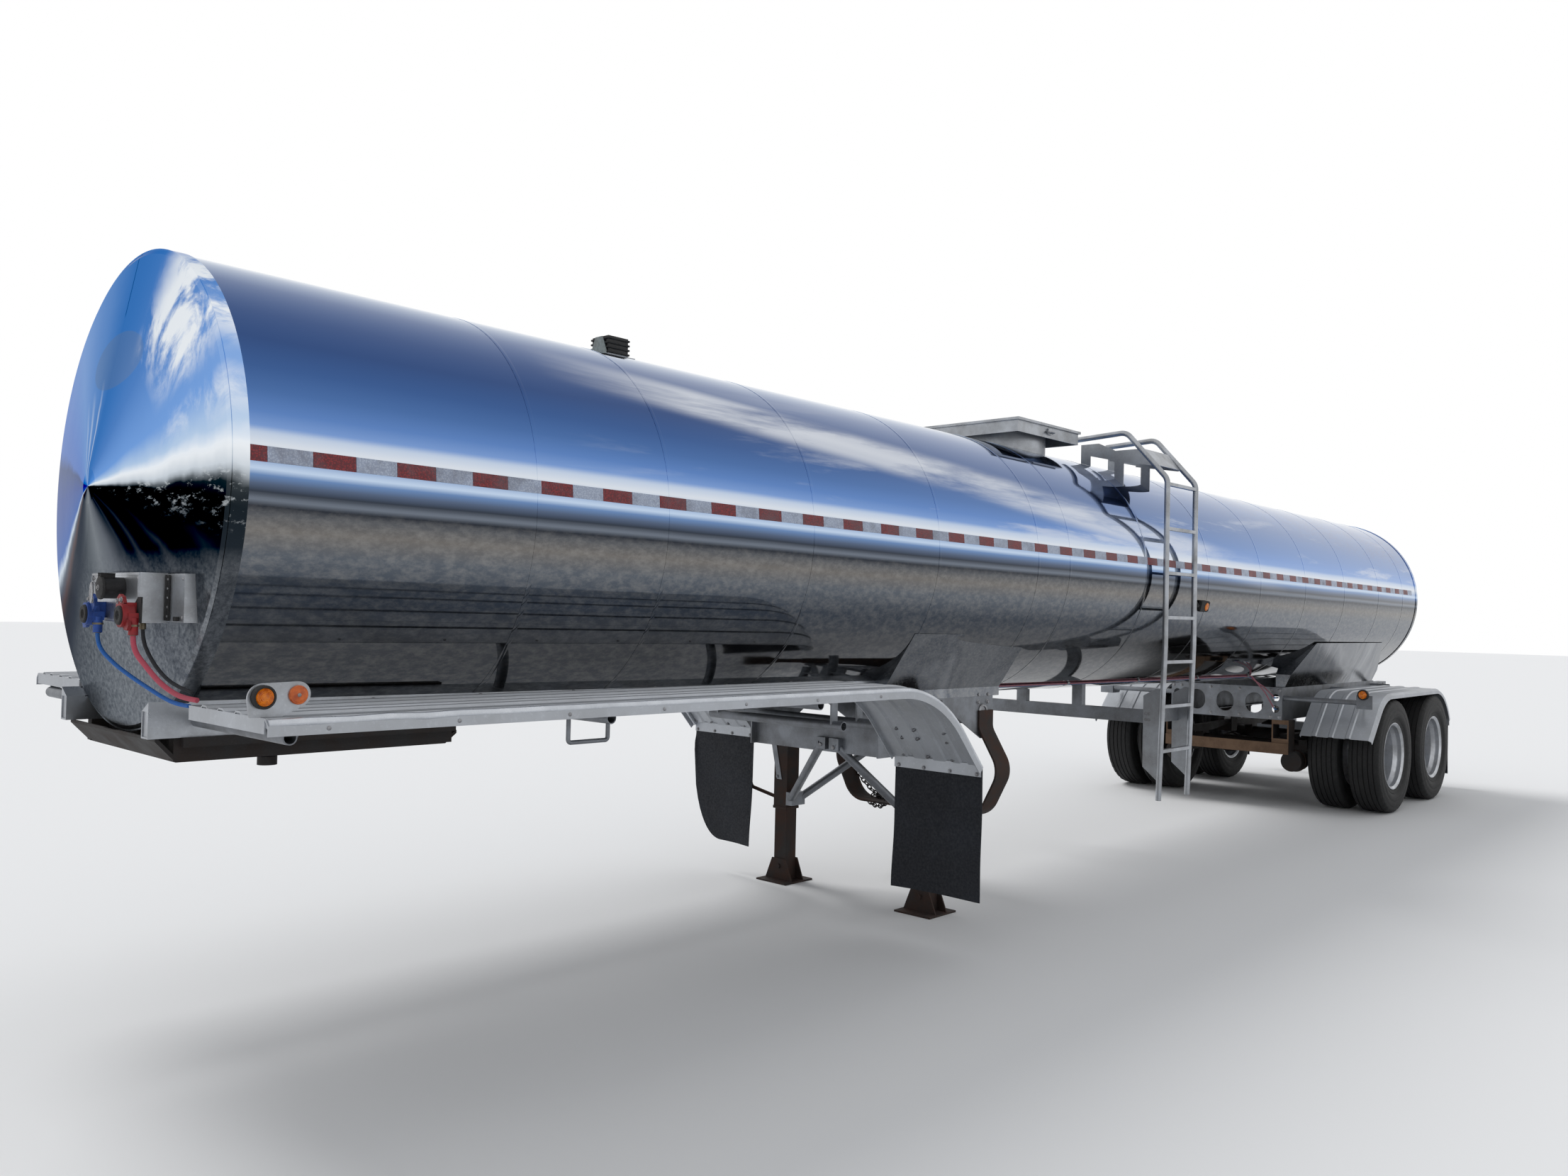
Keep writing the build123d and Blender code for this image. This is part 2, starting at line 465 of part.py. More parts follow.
# Round braces of the landing gear, bolted through flattened ends
BRACE_RADIUS = 24.0
BRACE_LOW = 515.0
BRACE_MID = 115.0            # the front pair is bolted beside the middle of the plate
leg_face = LEG_Y - LEG_OUTER / 2
braces = None
for sign in (1, -1):
    pieces = (
        bar((x_at(FRAME_FRONT - 22), BRACE_MID + sign * 48, 930), (x_at(LEG_STATION - 40), sign * (leg_face - 26), BRACE_LOW), BRACE_RADIUS),
        bar((x_at(FRAME_REAR - 40), sign * 60, 1010), (x_at(LEG_STATION + 40), sign * (leg_face - 26), BRACE_LOW), BRACE_RADIUS),
        block(FRAME_FRONT - 36, FRAME_FRONT - SEAT_GAP, BRACE_MID + sign * 14, BRACE_MID + sign * 84, 895, 962),
        block(FRAME_REAR - 70, FRAME_REAR - FRAME_SHEET - SEAT_GAP, sign * 20, sign * 100, 1002, 1040),
        block(LEG_STATION - 60, LEG_STATION + 60, sign * (leg_face - 50), sign * (leg_face - SEAT_GAP), BRACE_LOW - 40, BRACE_LOW + 40),
    )
    for piece in pieces:
        braces = piece if braces is None else braces + piece
SHAFT_Z = 985.0
SHAFT_RADIUS = 19.0
shaft = rod_y(LEG_STATION, -leg_face + SEAT_GAP, leg_face - SEAT_GAP, SHAFT_Z, SHAFT_RADIUS)
braces = braces - frame
save("leg_braces", braces)
crank = pipe([(x_at(LEG_STATION), -LEG_Y - LEG_OUTER / 2 - SEAT_GAP, 505), (x_at(LEG_STATION), -LEG_Y - LEG_OUTER / 2 - 30, 505), (x_at(LEG_STATION), -840, 545),
              (x_at(LEG_STATION), -900, 700), (x_at(LEG_STATION), -960, 700)], [30, 30, 20], 11)
save("landing_crank", group(shaft - braces, crank))

# Spare wheel hoop hung from the rear posts of the landing gear
HOOP_BAND = 150.0
HOOP_THICKNESS = 12.0
HOOP_STATION = RAIL_REAR - 10
HOOP_HALF, HOOP_LOW = 640.0, 455.0
hoop_end = PLATE_Y + HOOP_THICKNESS / 2 + SEAT_GAP
hoop_line = FilletPolyline(
    *[(x_at(HOOP_STATION), y, z) for y, z in (
        (-hoop_end, 1100), (-hoop_end, 990), (-HOOP_HALF, 750), (-490, HOOP_LOW), (490, HOOP_LOW), (HOOP_HALF, 750), (hoop_end, 990), (hoop_end, 1100))],
    radius=[90, 150, 160, 160, 150, 90])
hoop_plane = Plane(origin=hoop_line @ 0, z_dir=hoop_line % 0, x_dir=(1, 0, 0))
hoop = sweep(hoop_plane * (Pos(HOOP_BAND / 2, 0) * Rectangle(HOOP_BAND, HOOP_THICKNESS)), path=hoop_line)
save("spare_hoop", hoop)

# Polished saddle plates from the tank's flank down to the landing gear
saddle_top_angle = math.radians(-32)
top_y = TANK_RADIUS * math.cos(saddle_top_angle)
top_z = axis_z(4200) + TANK_RADIUS * math.sin(saddle_top_angle)
saddle = cross_plate([(top_y, top_z), (490, 1240), (490, LEG_TOP + SEAT_GAP), (RAIL_OUTER + SEAT_GAP, LEG_TOP + SEAT_GAP),
                      (RAIL_OUTER + SEAT_GAP, RAIL_TOP)], 3620, 4780)
save_pair("saddle_fairings", off_tank(saddle) - frame)

# Rear running gear frame: cross plate with obround holes, long members and ties
SUB_FRONT = AXLE_STATIONS["front"] - 660.0
SUB_REAR = AXLE_STATIONS["rear"] + 685.0
MID_STATION = (AXLE_STATIONS["front"] + AXLE_STATIONS["rear"]) / 2
SUB_HALF = 520.0
SUB_BOTTOM = 803.0
SUB_TOP = 1095.0
SUB_SHEET = 10.0
SUB_FLANGE = 80.0
HOLE_Z = 946.0
HOLE_PITCH = 270.0
HOLE_HEIGHT, HOLE_WIDTH = 185.0, 160.0
SMALL_HOLE_Y = 462.0
front_plate = block(SUB_FRONT, SUB_FRONT + SUB_SHEET, -SUB_HALF, SUB_HALF, SUB_BOTTOM, SUB_TOP)
for y in (-HOLE_PITCH, 0, HOLE_PITCH):
    slot = Plane.YZ.offset(x_at(SUB_FRONT + 30)) * (Pos(y, HOLE_Z) * SlotOverall(HOLE_HEIGHT, HOLE_WIDTH, rotation=90))
    front_plate = front_plate - extrude(slot, amount=60)
for y in (-SMALL_HOLE_Y, SMALL_HOLE_Y):
    for z in (HOLE_Z - 48, HOLE_Z + 54):
        front_plate = front_plate - rod_x(SUB_FRONT - 20, SUB_FRONT + 30, y, z, 34)
subframe = front_plate + block(SUB_REAR - SUB_SHEET, SUB_REAR, -SUB_HALF, SUB_HALF, SUB_BOTTOM + 60, SUB_TOP)
for sign in (1, -1):
    web_face, flange_face = sign * (SUB_HALF - SUB_SHEET), sign * (SUB_HALF - SUB_FLANGE)
    subframe = subframe + block(SUB_FRONT, SUB_REAR, web_face, sign * SUB_HALF, SUB_BOTTOM, SUB_TOP)
    subframe = subframe + block(SUB_FRONT, SUB_REAR, flange_face, sign * SUB_HALF, SUB_BOTTOM, SUB_BOTTOM + SUB_SHEET)
    subframe = subframe + block(SUB_FRONT + SUB_SHEET, SUB_REAR, flange_face, sign * SUB_HALF, SUB_TOP - SUB_SHEET, SUB_TOP)
save("rear_subframe", subframe)

# Wing pads that spread the running gear's load up the tank's flanks
pad_section = [(705, 1500), (SUB_HALF, SUB_TOP + SEAT_GAP), (SUB_HALF - SUB_FLANGE, SUB_TOP + SEAT_GAP), (SUB_HALF - SUB_FLANGE, 1300)]
pad = cross_plate(pad_section, SUB_FRONT + 60, SUB_REAR - 60)
pad = pad - side_plate([(SUB_FRONT + 50, 1200), (SUB_FRONT + 50, 1600), (SUB_FRONT + 420, 1600)], 400, 800)
pad = pad - side_plate([(SUB_REAR - 50, 1200), (SUB_REAR - 50, 1600), (SUB_REAR - 420, 1600)], 400, 800)
save_pair("rear_fairings", off_tank(pad))

# Spring hangers with the tie across the front pair
AXLE_RADIUS = 63.5
AXLE_Z = TYRE_RADIUS
SPRING_LOW = AXLE_Z + AXLE_RADIUS + 24 + SEAT_GAP    # underside of a leaf spring on its axle seat
SPRING_END = SPRING_LOW + 40                         # underside of its ends, which rest in the hangers
HANGERS = ((SUB_FRONT + 92, 517.0), (MID_STATION, 560.0), (SUB_REAR - 120, 560.0))
TIE_Z0, TIE_Z1 = 497.0, 595.0
HANGER_INNER, HANGER_OUTER = 425.0, 575.0
HANGER_WALL = 12.0
HANGER_HALF = 78.0
tie_station = HANGERS[0][0] - HANGER_HALF
hangers = block(tie_station - 12, tie_station + 1, -HANGER_OUTER, HANGER_OUTER, TIE_Z0, TIE_Z1)
hangers = hangers + block(tie_station - 12, tie_station + 26, -HANGER_OUTER, HANGER_OUTER, TIE_Z0, TIE_Z0 + 10)
for sign in (1, -1):
    for station, z_low in HANGERS:
        cheek = side_plate([(station - HANGER_HALF, SUB_BOTTOM - SEAT_GAP), (station + HANGER_HALF, SUB_BOTTOM - SEAT_GAP), (station + 55, z_low),
                            (station - HANGER_HALF, z_low)], sign * HANGER_INNER, sign * HANGER_OUTER)
        slot = side_plate([(station - 90, SUB_BOTTOM - 40), (station + 90, SUB_BOTTOM - 40), (station + 90, SPRING_END - SEAT_GAP), (station - 90, SPRING_END - SEAT_GAP)],
                          sign * (HANGER_INNER + HANGER_WALL), sign * (HANGER_OUTER - HANGER_WALL))
        hangers = hangers + (cheek - slot)
save("spring_hangers", group(hangers))

# Axles, trailing springs, brake chambers
SPRING_WIDTH = 76.0
SPRING_Y = (HANGER_INNER + HANGER_OUTER) / 2
CHAMBER_Y = 548.0
CHAMBER_RADIUS = 92.0
CHAMBER_Z = 424.0
CHAMBER_FRONT, CHAMBER_REAR = 503.0, 300.0     # ahead of the axle
SPINDLE_RADIUS = 42.0
SPINDLE_END = 1085.0
BEAM_END = 640.0
for name, station in AXLE_STATIONS.items():
    tube = rod_y(station, -BEAM_END, BEAM_END, AXLE_Z, AXLE_RADIUS)
    for sign in (1, -1):
        tube = tube + rod_y(station, sign * (BEAM_END - 10), sign * SPINDLE_END, AXLE_Z, SPINDLE_RADIUS)
        tube = tube + rod_y(station, sign * (BEAM_END - 8), sign * (BEAM_END + 12), AXLE_Z, 150)
        tube = tube + block(station - 70, station + 70, sign * (SPRING_Y - SPRING_WIDTH / 2), sign * (SPRING_Y + SPRING_WIDTH / 2),
                            AXLE_Z, AXLE_Z + AXLE_RADIUS + 24)
        tube = tube + rod_x(station - CHAMBER_FRONT, station - CHAMBER_REAR, sign * CHAMBER_Y, CHAMBER_Z, CHAMBER_RADIUS)
        tube = tube + block(station - CHAMBER_REAR - 5, station - 20, sign * (CHAMBER_Y - 25), sign * (CHAMBER_Y + 25), CHAMBER_Z - 10, CHAMBER_Z + 50)
    save("axle_" + name, tube)
springs = []
for station in AXLE_STATIONS.values():
    front_gap = min(abs(station - s) for s, z in HANGERS if s < station)
    rear_gap = min(abs(station - s) for s, z in HANGERS if s > station)
    front_end, rear_end = station - front_gap + 30, station + rear_gap - 30
    leaf = side_plate([(front_end, SPRING_END), (front_end + 60, SPRING_END), (station - 180, SPRING_LOW), (station + 180, SPRING_LOW),
                       (rear_end - 60, SPRING_END), (rear_end, SPRING_END), (rear_end, SPRING_END + 35), (station + 180, SPRING_LOW + 66),
                       (station - 180, SPRING_LOW + 66), (front_end, SPRING_END + 35)], SPRING_Y - SPRING_WIDTH / 2, SPRING_Y + SPRING_WIDTH / 2)
    springs += [leaf, mirrored(leaf)]
save("leaf_springs", group(*springs))

# Dual wheels: two deep dished wheels bolted back to back on hub and drum, with twin tyres
RIM_HALF = 113.0
RIM_WALL = 10.0
WELL_RADIUS = 262.0
wheel_mid = (TRACK_OUTER + TRACK_INNER) / 2
DISC_THICKNESS = 20.0
DISC_HOLE = 110.0
DISC_FLAT = 196.0
STUD_COUNT = 10
HAND_HOLE_CIRCLE = 216.0
HAND_HOLE_RADIUS = 24.0
DRUM_RADIUS = 208.0


def turned(section):
    """Solid of revolution about the wheel's axis, from radius and Y pairs."""
    face = make_face(Polyline(*[(radius, y, 0) for radius, y in section], close=True))
    return revolve(face, axis=Axis.Y)


def dished_wheel(away):
    """One wheel; away is 1 when it lies outboard of the bolting face, -1 inboard."""
    centre = wheel_mid + away * (TRACK_OUTER - wheel_mid)

    def y(offset):
        return centre + away * offset

    face = wheel_mid
    section = [
        (RIM_LIP, y(RIM_HALF)), (RIM_LIP, y(RIM_HALF - 12)), (RIM_RADIUS - 2, y(RIM_HALF - 20)), (RIM_RADIUS - 2, y(60)),
        (WELL_RADIUS + RIM_WALL, y(20)), (WELL_RADIUS + RIM_WALL, y(-40)), (RIM_RADIUS - 2, y(-75)), (RIM_RADIUS - 2, y(-RIM_HALF + 20)),
        (RIM_LIP, y(-RIM_HALF + 12)), (RIM_LIP, y(-RIM_HALF)), (RIM_RADIUS - 12, y(-RIM_HALF + 8)),
        (250, y(-RIM_HALF - 20)), (DISC_FLAT + 14, face + away * 4), (DISC_FLAT, face), (DISC_HOLE, face),
        (DISC_HOLE, face + away * DISC_THICKNESS), (DISC_FLAT - 8, face + away * DISC_THICKNESS), (DISC_FLAT + 20, face + away * 30),
        (238, y(-RIM_HALF + 8)), (WELL_RADIUS - 6, y(-RIM_HALF + 34)), (WELL_RADIUS, y(-50)), (WELL_RADIUS, y(30)),
        (RIM_RADIUS - RIM_WALL - 2, y(68)), (RIM_RADIUS - RIM_WALL - 2, y(RIM_HALF - 14)), (RIM_LIP - 8, y(RIM_HALF))]
    return turned(section)


def dual_wheel():
    """Both wheels, hub with its cap, and the brake drum."""
    wheel = dished_wheel(1) + dished_wheel(-1)
    for index in range(STUD_COUNT):
        angle = 360 / STUD_COUNT * index
        hole = Pos(HAND_HOLE_CIRCLE, wheel_mid, 0) * Rot(90, 0, 0) * Cylinder(HAND_HOLE_RADIUS, 200)
        wheel = wheel - Rot(0, angle + 180 / STUD_COUNT, 0) * hole
    bore = SPINDLE_RADIUS + SEAT_GAP
    hub = turned([(bore, 668), (96, 668), (96, 720), (DRUM_RADIUS, 724), (DRUM_RADIUS, 920), (DRUM_RADIUS - 24, 944), (150, wheel_mid - 22),
                  (DISC_HOLE - 1, wheel_mid - 20), (DISC_HOLE - 1, wheel_mid + 24), (98, wheel_mid + 32), (92, 1100), (84, 1128), (0, 1134),
                  (0, SPINDLE_END + RUN_CLEAR), (bore, SPINDLE_END + RUN_CLEAR)])
    return wheel + hub


def tyre(centre):
    """One tyre with rounded shoulders, from the rim flanges to the tread."""
    half = TYRE_WIDTH / 2
    outer = [(TYRE_RADIUS - 160, half - 6), (TYRE_RADIUS - 110, half), (TYRE_RADIUS - 60, half - 4), (TYRE_RADIUS - 22, half - 12), (TYRE_RADIUS - 5, half - 28)]
    crown = [(TYRE_RADIUS, centre + 70), (TYRE_RADIUS, centre - 70)]
    bead = [(RIM_LIP + SEAT_GAP, RIM_HALF - 13), (RIM_LIP + SEAT_GAP, RIM_HALF - 2), (RIM_LIP + 22, half - 20)]
    right = [(r, centre + y) for r, y in bead + outer]
    left = [(r, centre - y) for r, y in reversed(bead + outer)]
    inner = [(RIM_RADIUS - 2 + SEAT_GAP, centre - RIM_HALF + 22), (RIM_RADIUS - 2 + SEAT_GAP, centre + RIM_HALF - 22)]
    return turned(inner + right + crown + left)


wheel = dual_wheel()
tyres = [tyre(TRACK_OUTER), tyre(TRACK_INNER)]
for name, station in AXLE_STATIONS.items():
    for side, sign in SIDES.items():
        place = Pos(x_at(station), 0, AXLE_Z)
        save("wheel_" + name + "_" + side, place * (wheel if sign > 0 else mirrored(wheel)))
        save("tyres_" + name + "_" + side, group(*[place * (t if sign > 0 else mirrored(t)) for t in tyres]))

# Rear fenders: a sloping apron, a beaded deck and a curve down behind the rear axle
REAR_DECK_TOP = 1072.0
REAR_INNER = 700.0
REAR_OUTER = 1292.0
REAR_EDGE = 48.0
APRON_ANGLE = 44.5
APRON_RADIUS = 477.0
APRON_LENGTH = 350.0
APRON_STATION = AXLE_STATIONS["front"] - 146    # where the front curve meets the flat deck
TAIL_STATION = AXLE_STATIONS["rear"] + 35
TAIL_RADIUS = 560.0
TAIL_ANGLE = 64.0
REAR_BEADS = tuple(REAR_INNER + (REAR_OUTER - REAR_INNER) * part / 592 for part in (120, 260, 400))
section = deck_profile(REAR_INNER, REAR_OUTER, REAR_DECK_TOP, REAR_EDGE, DECK_SHEET, REAR_BEADS)


def section_face(station):
    """Fender section standing at a station."""
    return make_face(Polyline(*[(x_at(station), y, z) for y, z in section], close=True))


fender = cross_plate(section, APRON_STATION, TAIL_STATION)
apron_axis = Axis((x_at(APRON_STATION), 0, REAR_DECK_TOP - APRON_RADIUS), (0, 1, 0))
fender = fender + revolve(section_face(APRON_STATION), axis=apron_axis, revolution_arc=APRON_ANGLE)
apron_face = section_face(APRON_STATION).rotate(apron_axis, APRON_ANGLE)
apron_way = Vector(math.cos(math.radians(APRON_ANGLE)), 0, -math.sin(math.radians(APRON_ANGLE)))
fender = fender + extrude(apron_face, amount=APRON_LENGTH, dir=apron_way)
tail_axis = Axis((x_at(TAIL_STATION), 0, REAR_DECK_TOP - TAIL_RADIUS), (0, -1, 0))
fender = fender + revolve(section_face(TAIL_STATION), axis=tail_axis, revolution_arc=TAIL_ANGLE)
rear_flap_station = TAIL_STATION + TAIL_RADIUS * math.sin(math.radians(TAIL_ANGLE)) - 14
flap_top = REAR_DECK_TOP - TAIL_RADIUS * (1 - math.cos(math.radians(TAIL_ANGLE)))
holder = block(rear_flap_station - 5, rear_flap_station, REAR_INNER + 8, REAR_OUTER - 8, flap_top - 70, flap_top + 30)
save_sides("rear_fender", fender + holder)
rear_flap = block(rear_flap_station + SEAT_GAP, rear_flap_station + SEAT_GAP + FLAP_THICKNESS, REAR_INNER + 15, REAR_OUTER - 20, 205, flap_top - 14)
save_pair("rear_flaps", rear_flap)

# Outrigger tubes of the rear fenders, the front one with a marker lamp on its end plate
REAR_TUBE_Z = 1000.0
OUTRIGGERS = (SUB_FRONT + 50, MID_STATION, SUB_REAR - 80)
LAMP_PLATE = (1142.0, 1272.0, 948.0, 1066.0)
y0, y1, z0, z1 = LAMP_PLATE
front_arm = rod_y(OUTRIGGERS[0], SUB_HALF + SEAT_GAP, 1180, REAR_TUBE_Z, TUBE_RADIUS)
front_arm = front_arm + block(OUTRIGGERS[0] - 31, OUTRIGGERS[0] - 21, y0, y1, z0, z1)
front_arm = front_arm + side_plate([(OUTRIGGERS[0] - 31, z0), (OUTRIGGERS[0] + 113, z0), (OUTRIGGERS[0] + 158, z0 + 58), (OUTRIGGERS[0] - 31, z0 + 58)], y0 + 4, y0 + 8)
arms = [front_arm]
for station in OUTRIGGERS[1:]:
    arms.append(rod_y(station, SUB_HALF + SEAT_GAP, REAR_INNER - SEAT_GAP, REAR_DECK_TOP - REAR_EDGE * 0.5 - 2, 22))
save("rear_fender_arms", group(*arms, *[mirrored(arm) for arm in arms]))
fender_lamp = rod_x(OUTRIGGERS[0] - 60, OUTRIGGERS[0] - 31 - SEAT_GAP, 1200, 1072, 46)

# Front box with the air and lamp couplings, on a mount that follows the cone
BOX_FRONT = -150.0
BOX_BACK = -68.0
BOX_Y0, BOX_Y1 = 74.0, 516.0
BOX_Z0, BOX_Z1 = 1580.0, 1738.0
box = block(BOX_FRONT, BOX_BACK, BOX_Y0, BOX_Y1, BOX_Z0, BOX_Z1)
box = box + block(BOX_BACK, 20, BOX_Y0 - 30, 654, BOX_Z0 + 4, BOX_Z1 - 2)
head_tool = Pos(SEAT_GAP, 0, 0) * (head(0, HEAD_DEPTH) + tank_cylinder(-HEAD_EDGE, 60, TANK_RADIUS + 8))
save("coupling_box", box - head_tool)

# Couplings on the box: service and emergency air, and the seven-pin socket
GLAD_Z = 1603.0
GLAD_RADIUS = 37.0
COUPLING_YS = {"service": 196.0, "emergency": 520.0}
couplings = []
for y in COUPLING_YS.values():
    piece = Pos(x_at(BOX_FRONT - 40), y, GLAD_Z) * Rot(0, 90, 0) * Cylinder(GLAD_RADIUS, 34)
    piece = piece + block(BOX_FRONT - 40, BOX_FRONT - SEAT_GAP, y - 20, y + 20, GLAD_Z - 12, GLAD_Z + 40)
    piece = piece + Pos(x_at(BOX_FRONT - 26), y + 30, GLAD_Z - 34) * Cylinder(14, 52)
    piece = piece + block(BOX_FRONT - 44, BOX_FRONT - 10, y, y + 40, GLAD_Z - 20, GLAD_Z + 8)
    couplings.append(piece)
couplings.append(Pos(x_at(BOX_FRONT - 30), 365.0, 1688.0) * Rot(0, 90, 0) * Cylinder(34, 60 - SEAT_GAP))
save("front_couplings", group(*couplings))

# Side marker lamps low on the tank's flanks
MARKER_STATION = 6990.0
MARKER_ANGLE = -14.0
marker = Pos(TANK_RADIUS + SEAT_GAP + 14, 0, 0) * Box(28, 80, 150)
marker = tank_plane(MARKER_STATION) * Rot(0, 0, MARKER_ANGLE) * marker
lamps = [deck_lamp, marker, fender_lamp]
save("marker_lamps", group(*lamps, *[mirrored(lamp) for lamp in lamps[1:]]))

# Product outlet under the rear of the tank: sump, valve body and capped end
OUTLET_RADIUS = 51.0
OUTLET_STATION = TANK_LENGTH - 234
OUTLET_END = OUTLET_STATION + 280
outlet_z = axis_z(OUTLET_STATION) - TANK_RADIUS - 150
outlet_line = FilletPolyline((x_at(OUTLET_STATION), 0, outlet_z + 175), (x_at(OUTLET_STATION), 0, outlet_z), (x_at(OUTLET_END), 0, outlet_z), radius=90)
outlet = sweep(Plane(origin=outlet_line @ 0, z_dir=outlet_line % 0) * Circle(OUTLET_RADIUS), path=outlet_line)
for back, front, radius in ((100, 80, 70), (70, 50, 70), (15, -15, 66)):
    outlet = outlet + rod_x(OUTLET_END - back, OUTLET_END - front, 0, outlet_z, radius)
save("outlet_pipe", off_tank(outlet))

# Rear bumper on two drop legs, with its lamps
BUMPER_STATION = TANK_LENGTH + 96
BUMPER_HALF = 1050.0
BUMPER_Z0, BUMPER_Z1 = 470.0, 570.0
LEG_Y0, LEG_Y1 = 430.0, 510.0
bumper = block(BUMPER_STATION - 100, BUMPER_STATION, -BUMPER_HALF, BUMPER_HALF, BUMPER_Z0, BUMPER_Z1)
for sign in (1, -1):
    bumper = bumper + block(BUMPER_STATION - 100, BUMPER_STATION - 10, sign * LEG_Y0, sign * LEG_Y1, BUMPER_Z1, SUB_TOP - 20)
    bumper = bumper + block(SUB_REAR + SEAT_GAP, BUMPER_STATION - 10, sign * LEG_Y0, sign * LEG_Y1, SUB_TOP - 120, SUB_TOP - 20)
save("rear_bumper", bumper)
save("tail_lamps", group(*[rod_x(BUMPER_STATION + SEAT_GAP, BUMPER_STATION + 30, y, (BUMPER_Z0 + BUMPER_Z1) / 2, 45)
                           for y in (-960, -830, 830, 960)]))

# Free hoses and the lamp cable from the front box down to the left fender's
# inner corner, and the two air lines clipped under the tank
HOSE_TOP = GLAD_Z - 60 - SEAT_GAP
CORDS = {
    "service_hose": (6.5, (
        (BOX_FRONT - 26, 226, HOSE_TOP), (BOX_FRONT - 26, 226, 1500), (-150, 300, 1446), (-120, 372, 1406),
        (-96, 452, 1374), (-78, 540, 1346), (-64, 620, 1330), (-56, 690, 1330))),
    "emergency_hose": (8.0, (
        (BOX_FRONT - 26, 550, HOSE_TOP), (BOX_FRONT - 26, 550, 1500), (-150, 596, 1446), (-128, 634, 1404),
        (-104, 674, 1374), (-80, 712, 1356), (-60, 760, 1352))),
    "lamp_cable": (6.0, (
        (-130, 492, BOX_Z0 - SEAT_GAP), (-130, 492, 1530), (-116, 520, 1474), (-96, 556, 1426), (-70, 604, 1388), (-38, 658, 1368))),
}
for name, (radius, points) in CORDS.items():
    points = [Vector(x_at(station), y, z) for station, y, z in points]
    runs = [(b - a).length for a, b in zip(points, points[1:])]
    radii = []
    for i in range(1, len(points) - 1):
        turn = (points[i] - points[i - 1]).get_angle(points[i + 1] - points[i])
        radii.append(0.45 * min(runs[i - 1], runs[i]) / math.tan(math.radians(turn) / 2))
    line = FilletPolyline(*points, radius=radii)
    print(name, "length", round(line.length), "runs", [round(r) for r in runs], "radii", [round(r) for r in radii])
    save(name, sweep(Plane(origin=line @ 0, z_dir=line % 0) * Circle(radius), path=line))

# Two air lines clipped along the tank's belly, through the cross plate's small holes to the brakes
LINE_RADIUS = 6.0
LINE_START = BAND_WIDTH + 40
lines = []
for y, hole_z in ((300.0, HOLE_Z + 54), (318.0, HOLE_Z - 48)):
    belly = [(station, y, axis_z(station) - math.sqrt((TANK_RADIUS + LINE_RADIUS + 2 * SEAT_GAP) ** 2 - y ** 2)) for station in (LINE_START, SUB_FRONT - 190)]
    end = [(SUB_FRONT - 60, (y + SMALL_HOLE_Y) / 2, (belly[1][2] + hole_z) / 2), (SUB_FRONT - 20, SMALL_HOLE_Y, hole_z), (SUB_FRONT + 60, SMALL_HOLE_Y, hole_z)]
    lines.append(pipe([(x_at(station), py, pz) for station, py, pz in belly + end], [60, 30, 12], LINE_RADIUS))
save("air_lines", group(*lines))
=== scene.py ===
import bpy
import bmesh
import math
import random
from mathutils import Matrix, Vector


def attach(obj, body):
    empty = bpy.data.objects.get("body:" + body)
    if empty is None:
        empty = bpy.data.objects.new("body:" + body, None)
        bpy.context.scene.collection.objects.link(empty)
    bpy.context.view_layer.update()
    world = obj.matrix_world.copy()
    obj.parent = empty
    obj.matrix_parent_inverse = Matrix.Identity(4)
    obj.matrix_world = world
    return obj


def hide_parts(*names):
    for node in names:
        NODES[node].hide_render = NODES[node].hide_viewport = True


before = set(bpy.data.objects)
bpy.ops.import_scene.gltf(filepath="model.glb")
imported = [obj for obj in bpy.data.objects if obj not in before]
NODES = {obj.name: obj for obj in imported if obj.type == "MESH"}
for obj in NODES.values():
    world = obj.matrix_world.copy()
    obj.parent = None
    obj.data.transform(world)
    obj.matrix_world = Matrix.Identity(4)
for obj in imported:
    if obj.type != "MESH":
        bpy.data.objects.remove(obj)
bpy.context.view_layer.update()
random.seed(7)

# Sizes shared with the model, in metres
FRONT_X = 6.1486
TANK_R = 0.8325
TANK_L = 12.354
AXIS_H = 2.035
AXIS_FALL = 0.00695
HUB_Z = 0.507
WHEELS = (("front", 10050.0), ("rear", 11295.0))
SIDES = (("left", 1), ("right", -1))
MM = 0.001

# Directions
FRONT = Vector((1, 0, 0))
LEFT = Vector((0, 1, 0))
UP = Vector((0, 0, 1))
AXIS_LINE = Vector((-1, 0, -AXIS_FALL)).normalized()


def xs(station):
    """X of a station in millimetres behind the tank's front edge."""
    return FRONT_X - station / 1000.0


def axis_z(x):
    """Height of the tank's axis, which falls towards the rear."""
    return AXIS_H - AXIS_FALL * (FRONT_X - x)


def at(station, y, z):
    """Point in metres from a station, a Y and a height in millimetres."""
    return Vector((FRONT_X - station * MM, y * MM, z * MM))


def on_jacket(station, degrees, side=1, lift=0.0):
    """Point on the jacket at a station and an angle over the horizontal."""
    x = xs(station)
    angle = math.radians(degrees)
    radius = TANK_R + lift
    return Vector((x, side * radius * math.cos(angle), axis_z(x) + radius * math.sin(angle)))


def on_head(y, rise, lift=0.0):
    """Point on the front cone at a Y and a height over its axis."""
    radius = math.hypot(y, rise)
    return Vector((FRONT_X + 0.15 * (1 - radius / TANK_R) + lift, y, AXIS_H + rise))


def around(centre, radius, angle, y=0.0):
    """Point on an upright circle about a centre, moved along Y."""
    return centre + Vector((radius * math.cos(angle), y, radius * math.sin(angle)))


def add_object(name, data):
    """New object of the given data, linked into the scene."""
    obj = bpy.data.objects.new(name, data)
    bpy.context.scene.collection.objects.link(obj)
    return obj


